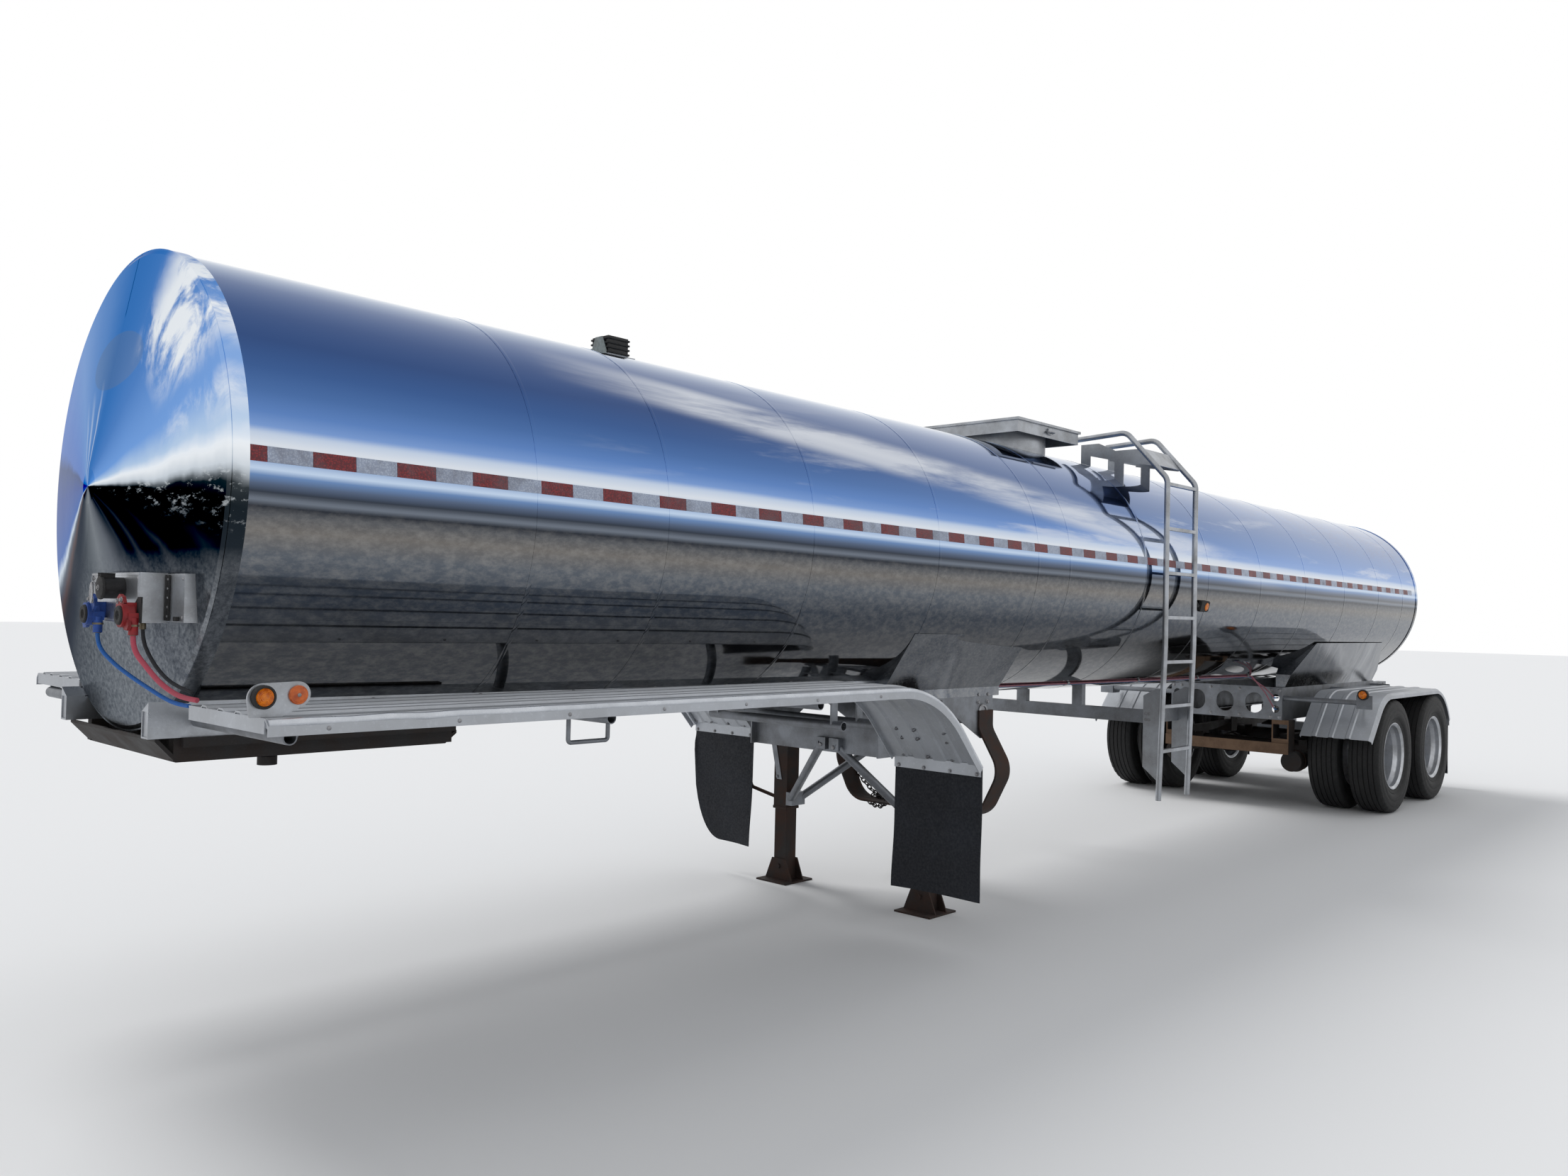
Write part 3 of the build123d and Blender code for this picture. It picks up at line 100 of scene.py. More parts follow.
# Camera at the photograph's angle, solved from its straight edges and circles
PHOTO_WIDTH = 2212
FOCAL_PIXELS = 1668.97
CAMERA_PLACE = (7.6264, 4.4899, 1.6492)
CAMERA_AXES = (
    (-0.680965, 0.731980, 0.022211),
    (0.031841, -0.000707, 0.999493),
    (0.731624, 0.681326, -0.022825),
)


def add_camera():
    """Camera whose right, up and back directions are the rows of CAMERA_AXES."""
    data = bpy.data.cameras.new("camera")
    data.sensor_width = 36.0
    data.lens = FOCAL_PIXELS / PHOTO_WIDTH * data.sensor_width
    data.clip_end = 400
    camera = add_object("camera", data)
    camera.matrix_world = Matrix.Translation(CAMERA_PLACE) @ Matrix(CAMERA_AXES).transposed().to_4x4()
    bpy.context.scene.camera = camera


add_camera()


# Material helpers
def srgb(colour):
    """Linear colour from the usual 0 to 255 values."""
    shares = [value / 255.0 for value in colour]
    return tuple(v / 12.92 if v <= 0.04045 else ((v + 0.055) / 1.055) ** 2.4 for v in shares)


class Shade:
    """One node material. Colours are tuples of 0 to 255 values, patterns are sockets."""

    def __init__(self, name, metallic=0.0, roughness=0.5):
        self.mat = bpy.data.materials.new(name)
        self.mat.use_nodes = True
        self.tree = self.mat.node_tree
        self.bsdf = self.tree.nodes["Principled BSDF"]
        self.bsdf.inputs["Metallic"].default_value = metallic
        self.bsdf.inputs["Roughness"].default_value = roughness
        self.coord = self.add("ShaderNodeTexCoord").outputs["Object"]

    def add(self, kind, **values):
        node = self.tree.nodes.new(kind)
        for key, value in values.items():
            setattr(node, key, value)
        return node

    def put(self, socket, value):
        """Set an input to a number or a colour, or link a socket to it."""
        if isinstance(value, (int, float)):
            socket.default_value = value
        elif isinstance(value, tuple):
            socket.default_value = (*srgb(value), 1)
        else:
            self.tree.links.new(value, socket)

    def noise(self, scale, detail, rough=0.55, distortion=0.0, stretch=(1, 1, 1), offset=(0, 0, 0)):
        mapping = self.add("ShaderNodeMapping")
        mapping.inputs["Scale"].default_value = stretch
        mapping.inputs["Location"].default_value = offset
        self.put(mapping.inputs["Vector"], self.coord)
        node = self.add("ShaderNodeTexNoise")
        settings = {"Scale": scale, "Detail": detail, "Roughness": rough, "Distortion": distortion}
        for key, value in settings.items():
            node.inputs[key].default_value = value
        self.put(node.inputs["Vector"], mapping.outputs["Vector"])
        return node.outputs["Fac"]

    def cells(self, scale):
        node = self.add("ShaderNodeTexVoronoi", feature="F1")
        node.inputs["Scale"].default_value = scale
        self.put(node.inputs["Vector"], self.coord)
        return node.outputs["Distance"]

    def ramp(self, pattern, stops, blend="LINEAR"):
        """Values or colours along a pattern, from (place, value) stops."""
        node = self.add("ShaderNodeValToRGB")
        points = node.color_ramp.elements
        node.color_ramp.interpolation = blend
        while len(points) < len(stops):
            points.new(0.5)
        for point, (place, value) in zip(points, stops):
            point.position = place
            colour = srgb(value) if isinstance(value, tuple) else (value, value, value)
            point.color = (*colour, 1)
        self.put(node.inputs["Fac"], pattern)
        return node.outputs["Color"]

    def fade(self, pattern, low, high, start=0.0, end=1.0, blend="LINEAR"):
        """Value that goes from start to end while the pattern goes from low to high."""
        return self.ramp(pattern, ((low, start), (high, end)), blend)

    def math(self, kind, a, b=None, clamp=False):
        node = self.add("ShaderNodeMath", operation=kind, use_clamp=clamp)
        self.put(node.inputs[0], a)
        if b is not None:
            self.put(node.inputs[1], b)
        return node.outputs["Value"]

    def times(self, product, *others):
        for value in others:
            product = self.math("MULTIPLY", product, value)
        return product

    def plus(self, a, b, clamp=False):
        return self.math("ADD", a, b, clamp)

    def minus(self, a, b):
        return self.math("SUBTRACT", a, b)

    def over(self, a, b):
        return self.math("DIVIDE", a, b)

    def apart(self, a, b):
        """Distance of two values."""
        return self.math("ABSOLUTE", self.minus(a, b))

    def root(self, a, b):
        """Square root of the sum of two values."""
        return self.math("POWER", self.plus(a, b), 0.5)

    def mix(self, share, a, b):
        node = self.add("ShaderNodeMix", data_type="RGBA")
        for index, value in ((0, share), (6, a), (7, b)):
            self.put(node.inputs[index], value)
        return node.outputs[2]

    def stain(self, base, pattern, low, high, amount, colour):
        """Base under a colour that comes in where the pattern goes from low to high."""
        return self.mix(self.times(self.fade(pattern, low, high), amount), base, colour)

    def axes(self):
        node = self.add("ShaderNodeSeparateXYZ")
        self.put(node.inputs[0], self.coord)
        return node.outputs

    def on_tank(self):
        """Station in metres, Y and height over the tank's axis."""
        x, y, z = self.axes()
        station = self.minus(FRONT_X, x)
        rise = self.plus(self.minus(z, AXIS_H), self.times(station, AXIS_FALL))
        return station, y, rise

    def done(self, colour, rough, height, strength, distance):
        """Link colour, roughness and bump, and hand the material over."""
        bump = self.add("ShaderNodeBump")
        bump.inputs["Strength"].default_value = strength
        bump.inputs["Distance"].default_value = distance
        self.put(bump.inputs["Height"], height)
        links = {"Base Color": colour, "Roughness": rough, "Normal": bump.outputs["Normal"]}
        for key, value in links.items():
            self.put(self.bsdf.inputs[key], value)
        return self.mat


# Painted reflection: what the jacket would mirror, from its underside (0) over the axis (0.5) to its top (1)
JACKET_REFLECTION_TONES = (
    (0.00, (44, 48, 54)), (0.10, (84, 88, 94)), (0.20, (104, 106, 110)), (0.28, (78, 86, 98)),
    (0.36, (96, 102, 110)), (0.405, (118, 114, 110)), (0.435, (92, 94, 98)), (0.45, (46, 50, 58)),
    (0.462, (120, 128, 140)), (0.476, (52, 58, 68)), (0.492, (84, 98, 122)), (0.508, (104, 134, 178)),
    (0.520, (190, 208, 230)), (0.534, (150, 172, 205)), (0.566, (214, 220, 228)), (0.588, (188, 202, 222)),
    (0.60, (120, 152, 204)), (0.629, (92, 128, 186)), (0.671, (74, 108, 162)), (0.719, (60, 91, 143)),
    (0.78, (50, 76, 124)), (0.84, (54, 80, 128)), (0.91, (66, 94, 142)), (0.953, (100, 128, 168)),
    (0.985, (150, 174, 204)), (1.0, (186, 200, 218)),
)


def polished_tank():
    """Mirror polished jacket with a painted reflection: sky tones above the tank's axis, ground tones below
    it.
    """
    s = Shade("polished_jacket", metallic=1.0, roughness=0.08)
    station, y, rise = s.on_tank()
    share = s.over(station, TANK_L)
    angle = s.math("ARCTAN2", rise, s.math("ABSOLUTE", y))
    wave = s.noise(0.9, 3, stretch=(0.35, 1, 1))
    wobble = s.times(s.minus(wave, 0.5), 0.035)
    level = s.plus(s.times(s.plus(s.over(rise, TANK_R), wobble), 0.5), 0.5, clamp=True)
    # painted reflection: bluer sky towards the rear top
    rearward = s.fade(share, 0.15, 0.75)
    upper = s.fade(level, 0.56, 0.62)
    tone = s.mix(s.times(rearward, upper, 0.38), s.ramp(level, JACKET_REFLECTION_TONES), (128, 168, 226))
    # painted reflection of one long cloud that sinks towards the rear, and of smaller ones around it
    streak = s.noise(1.5, 8, 0.62, distortion=0.3, stretch=(0.34, 1.6, 3.2), offset=(3.1, 0.4, 0.2))
    line = s.minus(0.97, s.times(station, 0.108))
    near = s.ramp(s.apart(angle, line), ((0.0, 1.0), (0.06, 0.9), (0.17, 0.0)), "EASE")
    reach = s.ramp(share, ((0.10, 0.0), (0.17, 1.0), (0.55, 0.8), (0.70, 0.0)))
    long_cloud = s.times(near, reach, s.fade(streak, 0.36, 0.56))
    above = s.ramp(level, ((0.56, 0.0), (0.60, 0.8), (0.72, 0.7), (0.86, 0.25), (0.95, 0.0)))
    small = s.times(s.fade(streak, 0.55, 0.68, blend="EASE"), above, s.fade(share, 0.08, 0.3, end=0.8))
    sky = s.mix(s.times(s.math("MAXIMUM", long_cloud, small), 0.85), tone, (214, 218, 224))
    # painted reflection of faint branches near the rear top
    grove = s.fade(s.over(s.plus(level, s.times(share, 0.5)), 1.5), 0.74, 0.86)
    bough = s.noise(3.2, 9, 0.78, distortion=1.1, stretch=(0.55, 1.7, 1.7))
    twig = s.noise(8.5, 6, 0.7, distortion=1.6, stretch=(0.7, 1.5, 1.5), offset=(4, 0, 0))
    thick = s.fade(s.apart(bough, 0.5), 0.0, 0.022, 1.0, 0.0)
    thin = s.times(s.fade(s.apart(twig, 0.5), 0.0, 0.03, 1.0, 0.0), 0.7)
    sky = s.mix(s.times(s.math("MAXIMUM", thick, thin), grove, 0.42), sky, (112, 84, 82))
    # painted reflection of gravel below the axis
    reflected_gravel = s.noise(34, 6, 0.75, stretch=(0.55, 1, 1))
    below = s.ramp(level, ((0.0, 1.0), (0.42, 1.0), (0.46, 0.0)))
    ground = s.mix(s.times(s.fade(reflected_gravel, 0.42, 0.68), below, 0.38), sky, (164, 162, 158))
    rough = s.fade(s.noise(5, 6, stretch=(0.4, 1, 1)), 0.35, 0.75, 0.03, 0.10)
    return s.done(ground, rough, s.noise(1.6, 2, stretch=(0.8, 1, 1)), 0.10, 0.01)


# Painted reflection: what the head would mirror, once round its apex: right side (0 and 1), underside, left
# side (0.5), top
HEAD_REFLECTION_TONES = (
    (0.00, (70, 110, 178)), (0.055, (92, 134, 196)), (0.066, (222, 230, 238)), (0.076, (120, 130, 144)),
    (0.090, (126, 112, 114)), (0.105, (92, 98, 108)), (0.15, (124, 128, 134)), (0.20, (150, 154, 158)),
    (0.27, (164, 168, 172)), (0.33, (134, 138, 144)), (0.36, (96, 100, 106)), (0.385, (58, 64, 72)),
    (0.42, (44, 50, 58)), (0.455, (36, 43, 50)), (0.485, (28, 36, 42)), (0.498, (52, 58, 62)),
    (0.506, (200, 208, 216)), (0.522, (236, 240, 244)), (0.536, (182, 204, 230)), (0.565, (130, 168, 222)),
    (0.66, (120, 154, 206)), (0.75, (124, 156, 204)), (0.80, (142, 172, 214)), (0.87, (152, 182, 222)),
    (0.93, (120, 158, 214)), (0.962, (104, 146, 208)), (0.972, (82, 110, 160)), (1.0, (70, 110, 178)),
)
# painted rays of light above the head's apex, as stops round it
HEAD_PAINTED_RAYS = (
    (0.775, 0.0), (0.782, 0.9), (0.789, 0.0), (0.812, 0.0), (0.822, 0.75),
    (0.832, 0.0), (0.846, 0.0), (0.852, 0.6), (0.858, 0.0),
)


def polished_head():
    """Mirror polished cone of the tank's front end: painted reflection tones fan out from its apex."""
    s = Shade("polished_head", metallic=1.0, roughness=0.1)
    station, y, rise = s.on_tank()
    height = s.over(rise, TANK_R)
    sway = s.times(s.minus(s.noise(2.6, 4, 0.6), 0.5), 0.035)
    turn = s.plus(s.plus(s.over(s.math("ARCTAN2", rise, y), 2 * math.pi), 0.5), sway, clamp=True)
    reach = s.over(s.root(s.times(y, y), s.times(rise, rise)), TANK_R)
    tone = s.ramp(turn, HEAD_REFLECTION_TONES)
    # painted reflection of bright clouds on the upper outer part, and painted rays of light above the apex
    puff = s.noise(3.4, 9, 0.64, distortion=0.5, stretch=(1, 1.5, 1.0), offset=(1.2, 0.7, 0.1))
    sector = s.ramp(turn, ((0.575, 0.0), (0.615, 1.0), (0.665, 1.0), (0.705, 0.0)), "EASE")
    outer = s.fade(reach, 0.52, 0.70)
    cloud = s.times(sector, outer, s.fade(puff, 0.40, 0.56, blend="EASE"))
    low_sector = s.ramp(turn, ((0.535, 0.0), (0.555, 1.0), (0.575, 0.0)))
    wisp = s.times(low_sector, outer, s.fade(puff, 0.46, 0.6, end=0.8))
    rays = s.times(s.ramp(turn, HEAD_PAINTED_RAYS), s.ramp(reach, ((0.0, 1.0), (0.30, 0.7), (0.48, 0.0))))
    light = s.math("MAXIMUM", s.math("MAXIMUM", cloud, wisp), rays)
    sky = s.mix(light, tone, (232, 236, 240))
    # painted reflection: light specks below the haze, curved paler streaks in the dark wedge
    speck = s.noise(26, 5, 0.7, stretch=(1, 0.6, 1.6))
    wedge = s.ramp(turn, ((0.462, 0.0), (0.485, 1.0), (0.503, 1.0), (0.508, 0.0)))
    sky = s.mix(s.times(wedge, s.fade(speck, 0.56, 0.64), 0.55), sky, (206, 212, 216))
    arc = s.math("FRACT", s.plus(s.times(turn, 26.0), s.times(reach, 1.7)))
    dark_wedge = s.ramp(turn, ((0.36, 0.0), (0.385, 0.7), (0.43, 0.5), (0.465, 0.0)))
    arcs = s.times(s.ramp(arc, ((0.0, 0.0), (0.25, 0.8), (0.5, 0.0))), dark_wedge, 0.5)
    sky = s.mix(arcs, sky, (126, 128, 132))
    # dust on the lower half
    low = s.math("MULTIPLY", s.minus(-0.26, height), 5.0, clamp=True)
    dust = s.noise(60, 5, 0.8)
    dusty = s.mix(s.fade(dust, 0.38, 0.66), (112, 116, 122), (172, 176, 180))
    sky = s.mix(s.times(low, s.fade(turn, 0.13, 0.17), 0.62), sky, dusty)
    # dull round patch, and the sheet's joint above it
    patch_rise = s.minus(rise, 0.443)
    spot = s.root(s.times(y, y), s.times(patch_rise, patch_rise, 5.0))
    sky = s.mix(s.ramp(spot, ((0.0, 0.32), (0.225, 0.30), (0.235, 0.0))), sky, (150, 158, 170))
    seam = s.fade(s.apart(y, -0.012), 0.0, 0.0045, 1.0, 0.0)
    sky = s.mix(s.times(seam, s.fade(height, 0.72, 0.74), 0.6), sky, (70, 84, 108))
    s.put(s.bsdf.inputs["Specular Tint"], sky)
    return s.done(sky, s.plus(s.times(low, 0.22), 0.06), s.noise(2.2, 2), 0.08, 0.01)


def metal(name, colour, dirt, roughness=(0.3, 0.55), metallic=0.9, scale=6.0, bump=0.2, soil=0.6):
    """Worn metal: a base tone, large dirt patches and fine speckles."""
    s = Shade(name, metallic, roughness[0])
    patches = s.noise(scale, 8, 0.65)
    speck = s.noise(scale * 18, 3, 0.7)
    soiled = s.stain(colour, patches, 0.38, 0.72, soil, dirt)
    lighter = tuple(min(255, c + 26) for c in colour)
    flecked = s.stain(soiled, speck, 0.55, 0.75, 0.35, lighter)
    return s.done(flecked, s.fade(patches, 0.3, 0.75, *roughness), speck, bump, 0.0015)


def rubber(name, colour, dust, amount=0.35, scale=5.0):
    """Rubber or plastic with dust in patches."""
    s = Shade(name, roughness=0.75)
    patches = s.noise(scale, 8, 0.7)
    fine = s.noise(scale * 30, 3)
    dusty = s.stain(colour, patches, 0.45, 0.8, amount, dust)
    return s.done(dusty, s.fade(fine, 0.3, 0.7, 0.62, 0.88), fine, 0.25, 0.001)


def lens(name, colour, deep):
    """Moulded lens: fine grain of two tones, with a little road dust."""
    s = Shade(name, roughness=0.18)
    grain = s.noise(60, 4)
    dust = s.noise(14, 6, 0.7)
    base = s.mix(s.fade(grain, 0.35, 0.7), colour, deep)
    dusty = s.stain(base, dust, 0.5, 0.8, 0.25, (150, 120, 90))
    return s.done(dusty, s.fade(dust, 0.3, 0.8, 0.12, 0.45), grain, 0.12, 0.0008)


def tape(name, colour, cell):
    """Retroreflective tape: small cells, worn and dusty."""
    s = Shade(name, metallic=0.25, roughness=0.35)
    cells = s.cells(160)
    wear = s.noise(9, 7, 0.7)
    worn = s.stain(s.mix(s.fade(cells, 0.2, 0.6), colour, cell), wear, 0.45, 0.7, 0.55, (96, 92, 98))
    return s.done(worn, s.fade(wear, 0.3, 0.7, 0.25, 0.55), cells, 0.1, 0.0004)


def by_side(name, stops, roughness, metallic, wear):
    """Painted pieces of one node, coloured by their Y."""
    s = Shade(name, metallic, roughness)
    base = s.ramp(s.axes()[1], stops, "CONSTANT")
    patches = s.noise(30, 6, 0.7)
    worn = s.stain(base, patches, 0.45, 0.7, 0.35, wear)
    rough = s.fade(patches, 0.3, 0.7, roughness * 0.8, roughness * 1.4)
    return s.done(worn, rough, patches, 0.25, 0.001)


def gravel_reflection_sheet():
    """Polished sheet with soft folds, and a painted reflection of gravel: light and dark bands along the
    folds, pale stones over them.
    """
    s = Shade("polished_saddle", metallic=1.0, roughness=0.16)
    reflected_stones = s.noise(52, 7, 0.8, stretch=(1, 1, 1.4))
    folds = s.noise(1.7, 3, 0.5, distortion=1.2, stretch=(1.0, 1.0, 0.5))
    # painted reflection: light and dark bands along the folds, with pale stones over them
    tones = ((0.30, (74, 82, 94)), (0.45, (120, 124, 130)), (0.55, (92, 98, 108)), (0.70, (140, 144, 150)))
    painted_gravel_reflection = s.stain(s.ramp(folds, tones), reflected_stones, 0.42, 0.66, 0.45, (176, 174, 170))
    return s.done(painted_gravel_reflection, s.fade(reflected_stones, 0.3, 0.7, 0.12, 0.30), folds, 0.35, 0.02)


def vent_paint():
    """Black housing on a pale base, worn in patches."""
    s = Shade("vent_paint", metallic=0.3, roughness=0.45)
    over_base = s.math("MULTIPLY", s.minus(s.axes()[2], 2.868), 60.0, clamp=True)
    patches = s.noise(22, 7, 0.7)
    base = s.fade(over_base, 0.0, 1.0, (150, 154, 160), (22, 23, 26))
    worn = s.stain(base, patches, 0.45, 0.75, 0.35, (92, 90, 88))
    return s.done(worn, s.fade(patches, 0.3, 0.7, 0.36, 0.585), patches, 0.2, 0.001)


def hanger_paint():
    """Dark hangers; the tie across their front is a worn brown."""
    s = Shade("hanger_paint", metallic=0.25, roughness=0.6)
    patches = s.noise(7, 8, 0.7)
    tie = s.math("MULTIPLY", s.minus(s.axes()[0], -3.258), 400.0, clamp=True)
    base = s.mix(tie, (34, 32, 32), (108, 84, 64))
    worn = s.stain(base, patches, 0.42, 0.72, 0.6, (62, 48, 38))
    return s.done(worn, s.fade(patches, 0.3, 0.75, 0.55, 0.85), patches, 0.3, 0.002)


JACKET = polished_tank()
HEAD = polished_head()
SATIN = metal("satin_steel", (168, 172, 178), (112, 110, 106), (0.26, 0.5))
GALV = metal("galvanised_steel", (128, 132, 138), (84, 82, 80), (0.38, 0.62), 0.75)
DARK = metal("dark_steel", (30, 29, 30), (54, 40, 32), (0.55, 0.85), 0.3, 7.0)
RUST = metal("rusty_steel", (36, 31, 30), (74, 48, 36), (0.7, 0.92), 0.2, 9.0, 0.5, 0.8)
WHEEL = metal("wheel_alloy", (196, 199, 204), (120, 118, 116), (0.28, 0.55), 0.85, 8.0)
FENDER = metal("fender_aluminium", (176, 180, 186), (138, 138, 138), (0.34, 0.5), 0.55, 2.6, 0.08, 0.45)
EDGE = metal("bright_edge", (196, 200, 206), (150, 154, 160), (0.22, 0.4), 0.85, 9.0, 0.3, 0.5)
PAINT_BLUE = metal("coupling_blue", (34, 74, 150), (40, 48, 66), (0.4, 0.65), 0.2, 30, 0.4)
PAINT_RED = metal("coupling_red", (142, 30, 34), (66, 34, 34), (0.4, 0.65), 0.2, 30, 0.4)
BRASS = metal("fitting_brass", (120, 112, 92), (64, 58, 50), (0.35, 0.6), 0.8, 30)
BOLT = metal("bolt_steel", (150, 152, 156), (92, 84, 78), (0.3, 0.6), 0.9, 40)
WHITE = metal("bare_plate", (222, 224, 226), (176, 176, 174), (0.45, 0.6), 0.05, 20, 0.1, 0.35)
TYRE = rubber("tyre_rubber", (11, 12, 14), (52, 50, 48))
FLAP = rubber("flap_rubber", (9, 14, 24), (34, 40, 50), 0.5, 3.0)
BLACK = rubber("black_plastic", (18, 18, 20), (70, 68, 66), 0.3, 12.0)
HOSE_BLUE = rubber("hose_blue", (26, 92, 168), (70, 100, 130), 0.35, 20.0)
HOSE_RED = rubber("hose_red", (176, 70, 88), (140, 100, 104), 0.4, 20.0)
CABLE = rubber("cable_black", (24, 26, 32), (66, 66, 70), 0.3, 20.0)
AMBER = lens("amber_lens", (232, 132, 14), (170, 74, 6))
ORANGE = lens("orange_reflector", (214, 104, 26), (164, 66, 12))
RED_LENS = lens("red_lens", (150, 16, 14), (96, 8, 8))
VENT_FACE = lens("vent_face", (128, 138, 138), (92, 102, 104))
TAPE_RED = tape("tape_red", (138, 40, 44), (92, 30, 38))
TAPE_WHITE = tape("tape_white", (176, 186, 202), (150, 160, 180))
COUPLING_PAINTS = ((0.0, (34, 74, 150)), (0.29, (22, 22, 24)), (0.44, (142, 30, 34)))
AIR_LINE_PAINTS = ((0.0, (62, 92, 130)), (0.309, (140, 84, 96)), (0.455, (70, 120, 176)))


def dress(material, *names):
    """Give a material to nodes of the model."""
    for name in names:
        mesh = NODES[name].data
        mesh.materials.clear()
        mesh.materials.append(material)


dress(JACKET, "tank_barrel", "rear_head")
dress(HEAD, "front_head")
dress(SATIN, "manhole_cover", "manhole_collar", "ladder", "walkway_step", "frame_rails", "coupling_box")
dress(GALV, "ladder_beam", "fender_tubes", "rear_fender_arms", "cross_tubes", "landing_frame")
dress(GALV, "leg_braces", "rear_subframe", "outlet_pipe", "rear_bumper")
dress(DARK, "upper_coupler", "kingpin", "axle_front", "axle_rear", "leaf_springs")
dress(hanger_paint(), "spring_hangers")
dress(RUST, "landing_leg_left", "landing_leg_right", "landing_crank", "spare_hoop")
dress(FENDER, "front_fender_left", "front_fender_right", "rear_fender_left", "rear_fender_right")
dress(gravel_reflection_sheet(), "saddle_fairings", "rear_fairings")
dress(by_side("coupling_paint", COUPLING_PAINTS, 0.5, 0.3, (70, 70, 72)), "front_couplings")
dress(by_side("air_line_colours", AIR_LINE_PAINTS, 0.55, 0.0, (90, 86, 86)), "air_lines")
dress(RED_LENS, "tail_lamps")
dress(vent_paint(), "top_vent")
dress(FLAP, "front_flaps", "rear_flaps")
for wheel_end, _ in WHEELS:
    for wheel_side, _ in SIDES:
        dress(WHEEL, "wheel_%s_%s" % (wheel_end, wheel_side))
        dress(TYRE, "tyres_%s_%s" % (wheel_end, wheel_side))


# Mesh helpers
class Form:
    """Closed solids gathered in one mesh, in metres."""

    def __init__(self):
        self.bm = bmesh.new()

    def face(self, corners, material=0):
        made = self.bm.faces.new(corners)
        made.material_index = material

    def box(self, low, high, bevel, turn=None, segments=1):
        """Bevelled box between two corners, turned about its middle."""
        size, centre = high - low, (low + high) / 2
        made = bmesh.ops.create_cube(self.bm, size=1.0)["verts"]
        for v in made:
            v.co = Vector((v.co.x * size.x, v.co.y * size.y, v.co.z * size.z))
        edges = {e for v in made for e in v.link_edges}
        done = bmesh.ops.bevel(self.bm, geom=list(edges), offset=bevel, segments=segments, affect="EDGES")
        made = {v for f in done["faces"] for v in f.verts} | {v for v in made if v.is_valid}
        for v in made:
            v.co = (turn @ v.co if turn else v.co) + centre

    def block(self, centre, half, bevel, turn=None, segments=1):
        """Bevelled box of the given half sizes about a centre."""
        self.box(centre - Vector(half), centre + Vector(half), bevel, turn, segments)

    def circle(self, centre, side, other, radius, segments, start=0.0):
        """Vertices round a circle that two directions span."""
        made = []
        for i in range(segments):
            a = start + 2 * math.pi * i / segments
            made.append(self.bm.verts.new(centre + (side * math.cos(a) + other * math.sin(a)) * radius))
        return made

    def lathe(self, origin, axis, profile, segments=24, ring=False, start=0.0):
        """Turned solid; the profile is (distance along the axis, radius) pairs."""
        axis = axis.normalized()
        side = axis.orthogonal().normalized()
        other = axis.cross(side)
        rows = []
        for along, radius in profile:
            centre = origin + axis * along
            if radius:
                rows.append(self.circle(centre, side, other, radius, segments, start))
            else:
                rows.append([self.bm.verts.new(centre)])
        pairs = list(zip(rows, rows[1:])) + ([(rows[-1], rows[0])] if ring else [])
        for a, b in pairs:
            for i in range(segments):
                j = (i + 1) % segments
                if len(b) == 1:
                    self.face((a[i], a[j], b[0]))
                else:
                    self.face((a[i], a[j], b[j], b[i]))
        if not ring:
            self.face(rows[0][::-1])
            if len(rows[-1]) > 1:
                self.face(rows[-1])

    def bolt(self, place, axis, radius, height):
        """Hexagon head on a washer."""
        axis = axis.normalized()
        washer = [(0, radius * 1.5), (0.0025, radius * 1.5), (0.0032, radius * 1.38)]
        head = [(0, radius), (height * 0.75, radius), (height, radius * 0.82)]
        self.lathe(place - axis * 0.001, axis, washer, 16)
        self.lathe(place + axis * 0.0015, axis, head, 6, start=random.uniform(0, 1))

    def rivet(self, place, axis, radius):
        """Low round head."""
        head = [(0, 1), (0.35, 0.92), (0.62, 0.6), (0.75, 0)]
        self.lathe(place - axis * 0.001, axis, [(radius * a, radius * b) for a, b in head], 12)

    def tube(self, points, radius, segments=10, loop=False):
        """Round bar along points."""
        count = len(points)
        rows = []
        normal = None
        for i, p in enumerate(points):
            a = points[(i - 1) % count] if (loop or i > 0) else p
            b = points[(i + 1) % count] if (loop or i < count - 1) else p
            along = (b - a).normalized()
            if normal is None:
                normal = along.orthogonal().normalized()
            normal = (normal - along * normal.dot(along)).normalized()
            rows.append(self.circle(p, normal, along.cross(normal), radius, segments))
        pairs = list(zip(rows, rows[1:])) + ([(rows[-1], rows[0])] if loop else [])
        for a, b in pairs:
            shift = 0
            if loop and a is rows[-1]:
                shift = min(range(segments), key=lambda k: (a[0].co - b[k].co).length)
            for k in range(segments):
                after = (k + 1) % segments
                self.face((a[k], a[after], b[(after + shift) % segments], b[(k + shift) % segments]))
        if not loop:
            self.face(rows[0][::-1])
            self.face(rows[-1])

    def slab(self, outline, thick, material=0):
        """Plate: an outline of points, and the vector to its other face."""
        low = [self.bm.verts.new(p) for p in outline]
        high = [self.bm.verts.new(p + thick) for p in outline]
        self.face(low[::-1], material)
        self.face(high, material)
        for i in range(len(low)):
            j = (i + 1) % len(low)
            self.face((low[i], low[j], high[j], high[i]), material)

    def skin(self, rows, lift, material=0):
        """Sheet of the given rows of points, with lift(point) as its other side."""
        front = [[self.bm.verts.new(p) for p in row] for row in rows]
        rear = [[self.bm.verts.new(lift(p)) for p in row] for row in rows]
        tall, wide = len(rows), len(rows[0])
        for i in range(tall - 1):
            for j in range(wide - 1):
                self.face((front[i][j], front[i][j + 1], front[i + 1][j + 1], front[i + 1][j]), material)
                self.face((rear[i][j], rear[i + 1][j], rear[i + 1][j + 1], rear[i][j + 1]), material)
        edge = [(0, j) for j in range(wide)]
        edge += [(i, wide - 1) for i in range(1, tall)]
        edge += [(tall - 1, j) for j in range(wide - 2, -1, -1)]
        edge += [(i, 0) for i in range(tall - 2, 0, -1)]
        for (a, b), (c, e) in zip(edge, edge[1:] + edge[:1]):
            self.face((front[a][b], rear[a][b], rear[c][e], front[c][e]), material)

